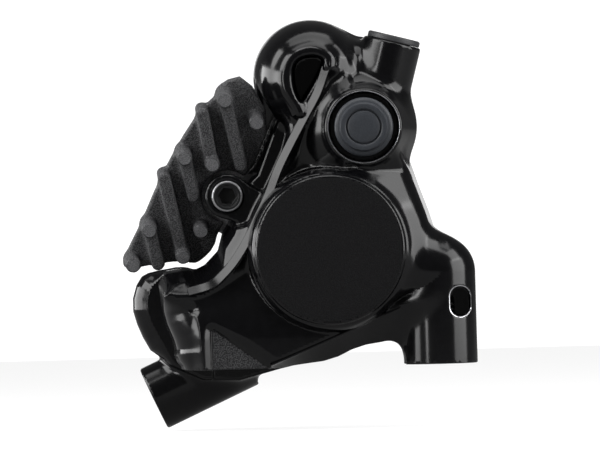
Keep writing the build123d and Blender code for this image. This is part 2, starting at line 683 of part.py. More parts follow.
def piston_seal(side):
    """Square-section seal in its groove round one piston."""
    start = level(SEAL_DEPTH + FIT_CLEARANCE, side)
    end = level(SEAL_DEPTH + FIT_CLEARANCE + SEAL_WIDTH, side)
    outer = BORE_RADIUS + SEAL_SECTION - FIT_CLEARANCE
    ring = rod(PISTON_CENTRE, outer, start, end)
    inner = PISTON_RADIUS + BORE_CLEARANCE / 2
    return ring - rod(PISTON_CENTRE, inner, start - side * CUT, end + side * CUT)


def rivet_places():
    """Places of one pad's rivets in the side view."""
    reach = (AXLE_REACH + LUG_RADIUS + TAIL_END) / 2
    return [polar(reach, share * TAIL_WIDTH) for share in RIVET_SHARES]


def pad_backing(side):
    """Steel backing plate with the tail that hangs on the pad axle and carries the fins."""
    half_height = BACKING_HEIGHT / 2
    corner = BACKING_WIDTH * PAD_CORNER_SHARE
    half_width = BACKING_WIDTH / 2
    neck = half_height + corner
    outline = [
        polar(-half_height, -half_width + corner), polar(-half_height, half_width - corner),
        polar(-half_height + corner, half_width), polar(half_height, half_width),
        polar(neck, half_width - corner), polar(neck, TAIL_WIDTH / 2 + corner),
        polar(neck + corner, TAIL_WIDTH / 2), polar(TAIL_END, TAIL_WIDTH / 2),
        polar(TAIL_END, -TAIL_WIDTH / 2), polar(neck + corner, -TAIL_WIDTH / 2),
        polar(neck, -TAIL_WIDTH / 2 - corner), polar(neck, -half_width + corner),
        polar(half_height, -half_width), polar(-half_height + corner, -half_width),
    ]
    plate = slab(outline, level(BACKING_DEPTH, side), level(PISTON_DEPTH, side))
    through_from = level(BACKING_DEPTH - CUT, side)
    through_to = level(PISTON_DEPTH + CUT, side)
    plate -= rod(AXLE_CENTRE, AXLE_RADIUS + AXLE_CLEARANCE, through_from, through_to)
    for centre in rivet_places():
        plate -= rod(centre, RIVET_RADIUS + FIT_CLEARANCE, through_from, through_to)
    return plate


def pad_friction(side):
    """Friction block with a chamfered end and a groove across its middle."""
    half_height = FRICTION_HEIGHT / 2
    half_width = FRICTION_WIDTH / 2
    corner = FRICTION_WIDTH * PAD_CORNER_SHARE
    outline = [
        polar(-half_height, -half_width + corner), polar(-half_height, half_width - corner),
        polar(-half_height + corner, half_width), polar(half_height - corner, half_width),
        polar(half_height, half_width - corner), polar(half_height, -half_width + corner),
        polar(half_height - corner, -half_width), polar(-half_height + corner, -half_width),
    ]
    block = slab(outline, level(FRICTION_DEPTH, side), level(BACKING_DEPTH, side))
    groove_depth = FRICTION_DEPTH + FRICTION_THICKNESS / 2
    return block - strip(
        -half_height - CUT, half_height + CUT, BACKING_RIM / 2, FRICTION_DEPTH - CUT, groove_depth, side
    )


def fin_plane(side):
    """Plane of the fin plate's inner face: leans outward towards the top of its bars."""
    tilt = math.radians(FIN_TILT)
    lean = math.radians(FIN_LEAN)
    rise = Vector(-math.sin(lean) * math.cos(tilt), side * math.sin(tilt), math.cos(lean) * math.cos(tilt))
    width = Vector(math.cos(lean), 0, math.sin(lean))
    origin = in_space(AXLE_CENTRE, level(FIN_PLATE_DEPTH - FIN_PLATE, side))
    normal = width.cross(rise)
    return Plane(origin=origin, x_dir=width, z_dir=normal)


def on_fin_plane(point):
    """Point of the fin plane that a point of the side view falls on."""
    x, z = point
    lean = math.radians(FIN_LEAN)
    dx = x - AXLE_CENTRE[0]
    dz = z - AXLE_CENTRE[1]
    u = dx * math.cos(lean) + dz * math.sin(lean)
    v = (dz * math.cos(lean) - dx * math.sin(lean)) / math.cos(math.radians(FIN_TILT))
    return (u, v)


def fin_room(side):
    """Room for one fin plate as it moves with its pad, cut from the body outside the plate's outline."""
    plane = fin_plane(side)
    out = -side
    outline = make_face(Polyline(*[on_fin_plane(place(share)) for share in FIN_OUTLINE_SHARES], close=True))
    swept = offset(outline, FIN_CLEARANCE, kind=Kind.INTERSECTION)
    room = extrude(plane * swept, out * OUTBOARD_THICKNESS)
    return room + extrude(plane * swept, -out * (FIN_TRAVEL + POCKET_CLEARANCE))


def pad_fins(side):
    """Cast fin plate with its bars and pegs, and the root that sits on the backing plate's tail."""
    plane = fin_plane(side)
    # The plane's normal points outboard on the outboard side, so the inboard plate grows backwards
    out = -side
    outline = make_face(Polyline(*[on_fin_plane(place(share)) for share in FIN_OUTLINE_SHARES], close=True))
    fins = extrude(plane * outline, out * FIN_PLATE)
    for start_share, end_share in BAR_SHARES:
        start = Vector(*on_fin_plane(place(start_share)))
        end = Vector(*on_fin_plane(place(end_share)))
        angle = math.degrees(math.atan2(end.Y - start.Y, end.X - start.X))
        middle = (start + end) / 2
        slot = SlotCenterToCenter((end - start).length, BAR_WIDTH)
        bar = plane * Pos(middle.X, middle.Y) * Rot(0, 0, angle) * slot
        fins += extrude(bar, out * (FIN_PLATE + BAR_HEIGHT))
    for share in PEG_SHARES:
        peg = Pos(*on_fin_plane(place(share))) * Circle(PEG_RADIUS)
        fins += extrude(plane * peg, out * (FIN_PLATE + PEG_HEIGHT))
    root_from = AXLE_REACH + LUG_RADIUS + POCKET_CLEARANCE
    half_root = FIN_ROOT_WIDTH / 2
    root_corners = [
        polar(root_from, -half_root), polar(root_from, half_root),
        polar(TAIL_END, half_root), polar(TAIL_END, -half_root),
    ]
    root = make_face(Polyline(*[on_fin_plane(corner) for corner in root_corners], close=True))
    fins += extrude(plane * root, -out * FIN_ROOT_LENGTH)
    tail_reach = BACKING_HEIGHT / 2
    fins -= strip(tail_reach, TAIL_END + AXLE_REACH, TAIL_WIDTH / 2 + FIT_CLEARANCE, -CUT, PISTON_DEPTH, side)
    room_from = level(PISTON_DEPTH - CUT, side)
    room_end = LUG_DEPTH + OUTBOARD_THICKNESS
    fins -= rod(AXLE_CENTRE, LUG_RADIUS + 2 * AXLE_CLEARANCE, room_from, level(room_end, side))
    arm_room = ARM_WIDTH / 2 + 2 * AXLE_CLEARANCE
    fins -= strip(0, AXLE_REACH, arm_room, PISTON_DEPTH - CUT, room_end, side)
    hole_end = level(BACKING_DEPTH + RIVET_LENGTH, side)
    for centre in rivet_places():
        fins -= rod(centre, RIVET_RADIUS + FIT_CLEARANCE, room_from, hole_end)
    return fins


def pad_rivets(side):
    """Two rivets that hold the fins to the backing plate, headed on the plate's inner face."""
    rivets = []
    face = level(BACKING_DEPTH, side)
    for centre in rivet_places():
        shank = rod(centre, RIVET_RADIUS, face, level(BACKING_DEPTH + RIVET_LENGTH, side))
        rivets.append(shank + rod(centre, RIVET_HEAD_RADIUS, level(BACKING_DEPTH - RIVET_HEAD, side), face))
    return Compound(rivets)


def pad_spring():
    """Bent leaf between the pads: two legs on the backing plates, joined over the rotor's rim."""
    outer = BACKING_DEPTH - FIT_CLEARANCE
    inner = outer - SPRING_THICKNESS
    half_width = SPRING_WIDTH / 2
    top = AXLE_REACH + AXLE_RADIUS + SPRING_TOP_MARGIN
    spring = strip(top - SPRING_THICKNESS, top, half_width, 0, outer, 1)
    spring += strip(top - SPRING_THICKNESS, top, half_width, 0, outer, -1)
    for side in (-1, 1):
        spring += strip(top - SPRING_LENGTH, top, half_width, inner, outer, side)
        foot = top - SPRING_LENGTH
        spread = [
            polar(foot + SPRING_FINGER_WIDTH, -SPRING_FINGER_REACH), polar(foot, -SPRING_FINGER_REACH),
            polar(foot, SPRING_FINGER_REACH), polar(foot + SPRING_FINGER_WIDTH, SPRING_FINGER_REACH),
        ]
        spring += slab(spread, level(inner, side), level(outer, side))
    hole = AXLE_RADIUS + AXLE_CLEARANCE
    return spring - rod(AXLE_CENTRE, hole, level(outer + CUT, -1), level(outer + CUT, 1))


def pad_axle():
    """Pad axle: socket head in the outboard lug, shank through both pads, ring groove at its end."""
    head_face = level(LUG_DEPTH + HEAD_PROUD, -1)
    head_seat = level(LUG_DEPTH + HEAD_PROUD - HEAD_THICKNESS, -1)
    axle = rod(AXLE_CENTRE, HEAD_RADIUS, head_face, head_seat)
    axle += rod(AXLE_CENTRE, AXLE_RADIUS, head_seat, level(LUG_DEPTH + SNAP_RING_OVERHANG, 1))
    axle -= hexagon(AXLE_CENTRE, SOCKET_RADIUS, head_face - CUT, head_face + SOCKET_DEPTH)
    ring_from = level(LUG_DEPTH + FIT_CLEARANCE, 1)
    ring_to = ring_from + SNAP_RING_THICKNESS + 2 * FIT_CLEARANCE
    groove = rod(AXLE_CENTRE, AXLE_RADIUS + CUT, ring_from, ring_to)
    return axle - (groove - rod(AXLE_CENTRE, AXLE_RADIUS - SNAP_RING_SEAT, ring_from - CUT, ring_to + CUT))


def axle_snap_ring():
    """Open ring in the groove at the inboard end of the pad axle."""
    start = level(LUG_DEPTH + 2 * FIT_CLEARANCE, 1)
    end = start + SNAP_RING_THICKNESS
    seat = AXLE_RADIUS - SNAP_RING_SEAT + FIT_CLEARANCE
    ring = rod(AXLE_CENTRE, seat + SNAP_RING_WIDTH, start, end)
    ring -= rod(AXLE_CENTRE, seat, start - CUT, end + CUT)
    half_gap = seat * RING_GAP_SHARE
    gap = [
        polar(AXLE_REACH, -half_gap), polar(AXLE_REACH, half_gap),
        polar(AXLE_REACH + 2 * LUG_RADIUS, half_gap), polar(AXLE_REACH + 2 * LUG_RADIUS, -half_gap),
    ]
    return ring - slab(gap, start - CUT, end + CUT)


def bleed_nipple():
    """Nipple screwed into the bleed boss, with a fine drilling."""
    floor = BLEED_RECESS - BLEED_FACE
    thread = rod(BLEED_CENTRE, NIPPLE_THREAD_RADIUS, floor, floor + NIPPLE_SEAT)
    tip = rod(BLEED_CENTRE, NIPPLE_RADIUS, floor - NIPPLE_LENGTH, floor)
    drilling = rod(BLEED_CENTRE, NIPPLE_BORE_RADIUS, floor - NIPPLE_LENGTH - CUT, floor + NIPPLE_SEAT + CUT)
    return thread + tip - drilling


def bleed_cap():
    """Rubber cap over the bleed nipple, with a stepped face."""
    floor = BLEED_RECESS - BLEED_FACE - FIT_CLEARANCE
    front = floor - BLEED_CAP_LENGTH
    step = front + BLEED_CAP_WALL
    cap = rod(BLEED_CENTRE, BLEED_CAP_RADIUS, step, floor)
    cap += rod(BLEED_CENTRE, BLEED_CAP_RADIUS - BLEED_CAP_RING, front, floor)
    return cap - rod(BLEED_CENTRE, NIPPLE_RADIUS + AXLE_CLEARANCE, step, floor + CUT)


def bleed_valve_screw():
    """Grub screw with a socket, a ring groove and a pointed end that shuts the passage."""
    seat = along(VALVE_TOP, VALVE_AXIS, -VALVE_BORE_LENGTH + FIT_CLEARANCE)
    top = along(seat, VALVE_AXIS, VALVE_SCREW_LENGTH)
    radius = VALVE_BORE_RADIUS - FIT_CLEARANCE
    screw = bar_between(seat, top, radius)
    tip_end = along(seat, VALVE_AXIS, -VALVE_SCREW_TIP)
    screw += bar_between(tip_end, seat, PASSAGE_RADIUS - FIT_CLEARANCE)
    socket_floor = along(top, VALVE_AXIS, -VALVE_SOCKET_DEPTH)
    socket = Plane(origin=socket_floor, z_dir=VALVE_AXIS) * RegularPolygon(VALVE_SOCKET_RADIUS, 6)
    screw -= extrude(socket, VALVE_SOCKET_DEPTH + CUT)
    groove_from = along(seat, VALVE_AXIS, VALVE_SCREW_LENGTH * SCREW_GROOVE_SHARE)
    groove_to = along(groove_from, VALVE_AXIS, VALVE_ORING_SECTION + 2 * FIT_CLEARANCE)
    groove = bar_between(groove_from, groove_to, radius + CUT)
    core = bar_between(groove_from, groove_to, radius - VALVE_ORING_SECTION - FIT_CLEARANCE)
    return screw - (groove - core)


def bleed_valve_oring():
    """O-ring in the groove of the bleed valve screw."""
    rise = VALVE_SCREW_LENGTH * SCREW_GROOVE_SHARE + 2 * FIT_CLEARANCE + VALVE_ORING_SECTION / 2
    centre = along(VALVE_TOP, VALVE_AXIS, rise - VALVE_BORE_LENGTH)
    ring_radius = VALVE_BORE_RADIUS - FIT_CLEARANCE - VALVE_ORING_SECTION / 2
    return Plane(origin=centre, z_dir=VALVE_AXIS) * Torus(ring_radius, VALVE_ORING_SECTION / 2)


def valve_cap():
    """Flat cap on the valve tube, with a hollow plug in its bore."""
    seat = along(VALVE_TOP, VALVE_AXIS, FIT_CLEARANCE)
    cap = bar_between(seat, along(seat, VALVE_AXIS, VALVE_CAP_THICKNESS), VALVE_CAP_RADIUS)
    plug_end = along(seat, VALVE_AXIS, -VALVE_CAP_PLUG)
    plug_radius = VALVE_BORE_RADIUS - FIT_CLEARANCE
    plug = bar_between(plug_end, seat, plug_radius)
    hollow = bar_between(along(plug_end, VALVE_AXIS, -CUT), seat, plug_radius - VALVE_CAP_WALL)
    return cap + (plug - hollow)


PARTS = {
    "outboard_body": outboard_body(),
    "inboard_body": inboard_body(),
    "body_bolts": body_bolts(),
    "transfer_oring": transfer_oring(),
    "outboard_piston": piston(-1),
    "inboard_piston": piston(1),
    "outboard_piston_seal": piston_seal(-1),
    "inboard_piston_seal": piston_seal(1),
    "outboard_pad_backing": pad_backing(-1),
    "inboard_pad_backing": pad_backing(1),
    "outboard_pad_friction": pad_friction(-1),
    "inboard_pad_friction": pad_friction(1),
    "outboard_pad_fins": pad_fins(-1),
    "inboard_pad_fins": pad_fins(1),
    "outboard_pad_rivets": pad_rivets(-1),
    "inboard_pad_rivets": pad_rivets(1),
    "pad_spring": pad_spring(),
    "pad_axle": pad_axle(),
    "axle_snap_ring": axle_snap_ring(),
    "bleed_nipple": bleed_nipple(),
    "bleed_cap": bleed_cap(),
    "bleed_valve_screw": bleed_valve_screw(),
    "bleed_valve_oring": bleed_valve_oring(),
    "valve_cap": valve_cap(),
}

os.makedirs("parts", exist_ok=True)
for name, shape in PARTS.items():
    export_step(shape, f"parts/{name}.step")
    print(name, round(shape.volume, 1))
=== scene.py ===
"""Rear flat-mount disc brake caliper, dressed for the photograph's view.

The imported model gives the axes, centres and levels, and each class holds its other sizes, in
millimetres. The castings, the cooling fins, the pad axle and the pad spring are shaped by distance
fields, and the two caps are spun from their profiles.
"""
import json
import logging
import math
from dataclasses import dataclass
from enum import IntEnum
from typing import Callable, ClassVar, Sequence

import bmesh
import bpy
import numpy as np
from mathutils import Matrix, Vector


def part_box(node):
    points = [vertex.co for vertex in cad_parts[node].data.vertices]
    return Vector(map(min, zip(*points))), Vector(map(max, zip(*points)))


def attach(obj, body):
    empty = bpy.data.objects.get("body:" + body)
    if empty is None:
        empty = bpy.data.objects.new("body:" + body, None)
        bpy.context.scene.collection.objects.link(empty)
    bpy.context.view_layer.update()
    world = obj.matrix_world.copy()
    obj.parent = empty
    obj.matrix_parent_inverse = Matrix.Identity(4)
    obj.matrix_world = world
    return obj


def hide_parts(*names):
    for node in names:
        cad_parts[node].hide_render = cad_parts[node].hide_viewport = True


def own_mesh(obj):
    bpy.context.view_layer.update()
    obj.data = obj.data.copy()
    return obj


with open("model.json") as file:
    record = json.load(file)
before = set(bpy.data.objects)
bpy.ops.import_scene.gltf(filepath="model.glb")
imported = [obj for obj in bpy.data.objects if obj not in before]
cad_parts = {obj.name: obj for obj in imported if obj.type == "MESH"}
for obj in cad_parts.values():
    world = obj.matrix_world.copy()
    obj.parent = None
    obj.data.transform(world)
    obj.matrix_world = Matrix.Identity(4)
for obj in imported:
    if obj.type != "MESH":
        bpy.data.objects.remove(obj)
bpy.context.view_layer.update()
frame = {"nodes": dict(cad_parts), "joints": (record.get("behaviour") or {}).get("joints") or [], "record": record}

import openvdb
from mathutils import Matrix, Vector

MM = 0.001
SETTLE_PASSES = 4
SETTLE_STEP = 0.01
SHADING_STEP = 0.06
LOG = logging.getLogger("caliper")
Point = tuple[float, float, float]
Spot = tuple[float, float]


class Side(IntEnum):
    """Which side of the rotor a piece is on: the way that y grows from the rotor to it."""

    OUTBOARD = -1
    INBOARD = 1


# Distance fields

@dataclass
class Cloud:
    """Points of space in millimetres, as three arrays that broadcast together."""

    x: np.ndarray
    y: np.ndarray
    z: np.ndarray


Shape = Callable[[Cloud], np.ndarray]


def rounded_both(first: np.ndarray, second: np.ndarray, edge: float) -> np.ndarray:
    """Distance to what two fields share, with the edge between them rounded.

    Args:
        first: distance to the first shape.
        second: distance to the second shape.
        edge: radius of the rounding in millimetres.

    Returns:
        The distance to the shared shape.
    """
    a = first + edge
    b = second + edge
    return np.minimum(np.maximum(a, b), 0.0) + np.hypot(np.maximum(a, 0.0), np.maximum(b, 0.0)) - edge


def join(first: np.ndarray, second: np.ndarray, blend: float) -> np.ndarray:
    """Distance to both shapes together, with a soft blend where they meet.

    Args:
        first: distance to the first shape.
        second: distance to the second shape.
        blend: width of the blend in millimetres.

    Returns:
        The distance to the joined shape.
    """
    near = np.maximum(blend - np.abs(first - second), 0.0) / blend
    return np.minimum(first, second) - near * near * blend / 4


def cut(body: np.ndarray, tool: np.ndarray, blend: float = 0.3) -> np.ndarray:
    """Distance to a body with a tool's shape taken out, its edges softened by blend."""
    return -join(-body, tool, blend)


def between(value: np.ndarray, low: float, high: float) -> np.ndarray:
    """Distance to what lies from low to high."""
    return np.abs(value - (low + high) / 2) - (high - low) / 2


def along_y(p: Cloud, centre: Spot, radius: float, low: float, high: float, edge: float = 0.3) -> np.ndarray:
    """Distance to a round bar along y.

    Args:
        p: the points.
        centre: x and z of its axis.
        radius: its radius.
        low: y of its outboard end.
        high: y of its inboard end.
        edge: rounding of its rims.

    Returns:
        The distance.
    """
    radial = np.hypot(p.x - centre[0], p.z - centre[1]) - radius
    return rounded_both(radial, between(p.y, low, high), edge)


def bar(p: Cloud, start: Sequence[float], end: Sequence[float], radius: float,
        edge: float = 0.3) -> np.ndarray:
    """Distance to a round bar from start to end, with its rims rounded by edge.

    Args:
        p: the points.
        start: the middle of its first end.
        end: the middle of its other end.
        radius: its radius.
        edge: rounding of its rims.

    Returns:
        The distance.
    """
    run = [b - a for a, b in zip(start, end)]
    length = math.sqrt(sum(c * c for c in run))
    u = [c / length for c in run]
    dx, dy, dz = p.x - start[0], p.y - start[1], p.z - start[2]
    t = dx * u[0] + dy * u[1] + dz * u[2]
    radial = np.sqrt(np.maximum(dx * dx + dy * dy + dz * dz - t * t, 0.0)) - radius
    return rounded_both(radial, between(t, 0.0, length), edge)


def rope(p: Cloud, points: Sequence[Sequence[float]], radii: Sequence[float]) -> np.ndarray:
    """Distance to a round-ended rod through some points.

    Args:
        p: the points of space.
        points: the points that the rod passes.
        radii: its radius at each of them.

    Returns:
        The distance.
    """
    best = None
    for (a, b), (ra, rb) in zip(zip(points, points[1:]), zip(radii, radii[1:])):
        run = [q - w for w, q in zip(a, b)]
        square = sum(c * c for c in run)
        dx, dy, dz = p.x - a[0], p.y - a[1], p.z - a[2]
        h = np.clip((dx * run[0] + dy * run[1] + dz * run[2]) / square, 0.0, 1.0)
        gap = np.sqrt((dx - h * run[0]) ** 2 + (dy - h * run[1]) ** 2 + (dz - h * run[2]) ** 2)
        gap = gap - (ra + (rb - ra) * h)
        best = gap if best is None else np.minimum(best, gap)
    return best


def curve(points: Sequence[Sequence[float]], parts: int = 5) -> list[tuple[float, ...]]:
    """Smooth line through some points, with each stretch divided into parts.

    Args:
        points: the points that it passes.
        parts: how many parts each stretch gets.

    Returns:
        The points of the line, from the first to the last.
    """
    made: list[tuple[float, ...]] = []
    ends = [points[0], *points, points[-1]]
    for a, b, c, d in zip(ends, ends[1:], ends[2:], ends[3:]):
        for step in range(parts):
            t = step / parts
            made.append(tuple(
                q + (r - o) * t / 2 + (2 * o - 5 * q + 4 * r - w) * t * t / 2
                + (3 * q - o - 3 * r + w) * t ** 3 / 2
                for o, q, r, w in zip(a, b, c, d)
            ))
    return made + [tuple(points[-1])]


def outline_distance(p: Cloud, outline: Sequence[Spot]) -> np.ndarray:
    """Distance to a closed outline in the side view, the same at every y.

    Args:
        p: the points.
        outline: its corners, x and z.

    Returns:
        The distance, less than zero inside.
    """
    px, pz = p.x, p.z
    best = None
    sign = None
    for (ax, az), (bx, bz) in zip(outline, list(outline[1:]) + [outline[0]]):
        ex, ez = bx - ax, bz - az
        wx, wz = px - ax, pz - az
        h = np.clip((wx * ex + wz * ez) / (ex * ex + ez * ez), 0.0, 1.0)
        square = (wx - h * ex) ** 2 + (wz - h * ez) ** 2
        best = square if best is None else np.minimum(best, square)
        above = pz >= az
        below = pz < bz
        left = ex * wz > ez * wx
        flips = (above & below & left) | (~above & ~below & ~left)
        sign = flips if sign is None else sign ^ flips
    return np.where(sign, -1.0, 1.0) * np.sqrt(best)


def softened(outline: Sequence[Spot], passes: int = 1) -> list[Spot]:
    """A closed outline with its corners cut again and again, so that it runs smoothly.

    Args:
        outline: its corners, x and z.
        passes: how often the corners are cut.

    Returns:
        The corners of the smoother outline.
    """
    points = list(outline)
    for _ in range(passes):
        halves: list[Spot] = []
        for (ax, az), (bx, bz) in zip(points, points[1:] + points[:1]):
            halves.append((ax * 0.75 + bx * 0.25, az * 0.75 + bz * 0.25))
            halves.append((ax * 0.25 + bx * 0.75, az * 0.25 + bz * 0.75))
        points = halves
    return points


def prism(p: Cloud, outline: Sequence[Spot], low: float, high: float, edge: float) -> np.ndarray:
    """Distance to a plate with an outline in the side view, from y low to y high."""
    return rounded_both(outline_distance(p, outline), between(p.y, low, high), edge)


def placed(name: str, data: bpy.types.ID) -> bpy.types.Object:
    """New object for a mesh, a lamp or a camera, in the scene.

    Args:
        name: the object's name.
        data: what it shows.

    Returns:
        The new object.
    """
    made = bpy.data.objects.new(name, data)
    bpy.context.scene.collection.objects.link(made)
    return made


def set_in_place(made: bpy.types.Object, ways: Sequence[Sequence[float]], origin: Vector) -> None:
    """Turns a mesh from its own frame into its place, with its faces kept outwards.

    Args:
        made: the object.
        ways: where its own x, y and z point.
        origin: where its own origin goes, in millimetres.
    """
    turn = Matrix(ways).transposed().to_4x4()
    turn.translation = origin * MM
    made.data.transform(turn)
    if turn.determinant() < 0:
        made.data.flip_normals()


def surface(name: str, shape: Shape, low: Sequence[float], high: Sequence[float], cell: float,
            exact: bool = False) -> bpy.types.Object:
    """Mesh of the zero surface of a distance field.

    Args:
        name: the new object's name.
        shape: the field, in millimetres.
        low: lowest corner of the space that holds it.
        high: highest corner of that space.
        cell: spacing of the grid that the surface is found on.
        exact: whether the shading follows the field's own slope.

    Returns:
        The new object, smooth shaded, with its place in its mesh.
    """
    axes = [np.arange(low[i] - 2 * cell, high[i] + 3 * cell, cell) for i in range(3)]
    cloud = Cloud(axes[0][:, None, None], axes[1][None, :, None], axes[2][None, None, :])
    values = np.broadcast_to(shape(cloud), tuple(len(a) for a in axes)).astype(np.float32)
    grid = openvdb.FloatGrid(float(cell * 3))
    grid.copyFromArray(np.ascontiguousarray(values))
    found, triangles, quads = grid.convertToPolygons(isovalue=0.0, adaptivity=0.0)
    points = found.astype(np.float64) * cell + np.array([a[0] for a in axes])
    for _ in range(SETTLE_PASSES):
        points = settle(points, shape, cell)
    mesh = bpy.data.meshes.new(name)
    faces = [tuple(int(i) for i in row) for row in quads] + [tuple(int(i) for i in row) for row in triangles]
    mesh.from_pydata([tuple(row) for row in points * MM], [], faces)
    mesh.polygons.foreach_set("use_smooth", [True] * len(mesh.polygons))
    mesh.update()
    if exact:
        normals = slope_at(points, shape, SHADING_STEP)
        lengths = np.maximum(np.linalg.norm(normals, axis=1), 1e-6)
        mesh.normals_split_custom_set_from_vertices([tuple(row) for row in normals / lengths[:, None]])
    return placed(name, mesh)


def slope_at(points: np.ndarray, shape: Shape, step: float) -> np.ndarray:
    """Slope of a field at some points, from its values a step to either side.

    Args:
        points: the points, one to a row.
        shape: the field.
        step: the step in millimetres.

    Returns:
        The slope at each point, one to a row.
    """
    columns = []
    for k in range(3):
        ahead, behind = points.copy(), points.copy()
        ahead[:, k] += step
        behind[:, k] -= step
        rise = shape(Cloud(*ahead.T)) - shape(Cloud(*behind.T))
        columns.append(rise / (2 * step))
    return np.stack(columns, axis=1)


def settle(points: np.ndarray, shape: Shape, cell: float) -> np.ndarray:
    """Moves points onto the zero surface of a field, by at most a third of a cell.

    Args:
        points: the points, one to a row.
        shape: the field.
        cell: spacing of the grid that the points were found on.

    Returns:
        The moved points.
    """
    slope = slope_at(points, shape, SETTLE_STEP)
    square = np.maximum((slope ** 2).sum(axis=1), 0.05)
    move = -(shape(Cloud(*points.T)) / square)[:, None] * slope
    length = np.linalg.norm(move, axis=1)
    return points + move * np.minimum(1.0, cell / 3 / np.maximum(length, 1e-9))[:, None]


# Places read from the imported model

@dataclass(frozen=True)
class Places:
    """Axes, centres and levels of the caliper, in millimetres."""

    BOLT_REACH: ClassVar[float] = 4.2

    piston: Spot
    axle: Spot
    rotor_y: float
    bleed: Spot
    bleed_low: float
    valve_top: Point
    valve_axis: Point
    hose_mouth: Point
    hose_axis: Point
    bolt_x: float
    disc_y: float
    inner_y: float
    piston_radius: float
    body_bolts: tuple[Spot, Spot]
    backing_depth: float
    piston_depth: float
    outward: Spot

    @classmethod
    def read(cls) -> "Places":
        """Reads them from the frame's boxes, joints and mounts.

        Returns:
            The places.
        """
        def box(node: str) -> tuple[Vector, Vector]:
            """A node's corners in millimetres."""
            low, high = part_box(node)
            return Vector(low) / MM, Vector(high) / MM

        def middle(node: str) -> Spot:
            """Centre of a node in the side view."""
            low, high = box(node)
            return ((low.x + high.x) / 2, (low.z + high.z) / 2)

        joints = {joint["name"]: joint for joint in frame["joints"]}
        mounts = {mount["name"]: mount for mount in frame["record"]["mounts"]}
        valve = joints["bleed_valve_turn"]
        port = mounts["hose_port"]
        axis = tuple(-c for c in port["axis"])
        half = port["dims"]["length_mm"] / 2
        mouth = tuple(c / MM - half * a for c, a in zip(port["pos_m"], axis))
        bolts = box("body_bolts")
        reach = cls.BOLT_REACH
        outboard = box("outboard_pad_backing")
        inboard = box("inboard_pad_backing")
        rotor_y = (outboard[1].y + inboard[0].y) / 2
        piston, axle = middle("outboard_piston"), middle("pad_axle")
        run = Vector(axle) - Vector(piston)
        return cls(
            piston=piston,
            axle=axle,
            outward=tuple(run.normalized()),
            rotor_y=rotor_y,
            bleed=middle("bleed_cap"),
            bleed_low=box("bleed_cap")[0].y,
            valve_top=tuple(c / MM for c in valve["pos_m"]),
            valve_axis=tuple(valve["axis"]),
            hose_mouth=mouth,
            hose_axis=axis,
            bolt_x=mounts["frame_bolts"]["dims"]["spacing_x_mm"] / 2,
            disc_y=box("outboard_body")[0].y,
            inner_y=box("inboard_body")[1].y,
            piston_radius=(box("outboard_piston")[1].x - box("outboard_piston")[0].x) / 2,
            body_bolts=(
                (bolts[1].x - reach, bolts[1].z - reach), (bolts[0].x + reach, bolts[0].z + reach),
            ),
            backing_depth=inboard[0].y - rotor_y,
            piston_depth=inboard[1].y - rotor_y,
        )


PLACES = Places.read()


def smooth(value: np.ndarray, start: float, end: float) -> np.ndarray:
    """Step from 0 at start to 1 at end, soft at both."""
    t = np.clip((value - start) / (end - start), 0.0, 1.0)
    return t * t * (3 - 2 * t)


def cone_y(p: Cloud, centre: Spot, low_radius: float, high_radius: float, low: float, high: float,
           edge: float) -> np.ndarray:
    """Distance to a round bar along y that changes its radius from its outboard end to its inboard end.

    Args:
        p: the points.
        centre: x and z of its axis.
        low_radius: radius at y low.
        high_radius: radius at y high.
        low: y of its outboard end.
        high: y of its inboard end.
        edge: rounding of its rims.

    Returns:
        The distance.
    """
    slope = (high_radius - low_radius) / (high - low)
    radius = low_radius + slope * (np.clip(p.y, low, high) - low)
    radial = (np.hypot(p.x - centre[0], p.z - centre[1]) - radius) / math.hypot(1.0, slope)
    return rounded_both(radial, between(p.y, low, high), edge)


def pad_strip(p: Cloud, reach_from: float, reach_to: float, half: float, low: float, high: float,
              edge: float = 0.3) -> np.ndarray:
    """Distance to a straight-sided block laid along the pad's own directions.

    Args:
        p: the points.
        reach_from: its start, from the piston's centre away from the rotor.
        reach_to: its end.
        half: half its width across the pad.
        low: y of its outboard face.
        high: y of its inboard face.
        edge: rounding of its edges.

    Returns:
        The distance.
    """
    ox, oz = PLACES.outward
    dx, dz = p.x - PLACES.piston[0], p.z - PLACES.piston[1]
    reach = dx * ox + dz * oz
    across = dx * oz - dz * ox
    plan = rounded_both(between(reach, reach_from, reach_to), np.abs(across) - half, edge)
    return rounded_both(plan, between(p.y, low, high), edge)


# The two castings

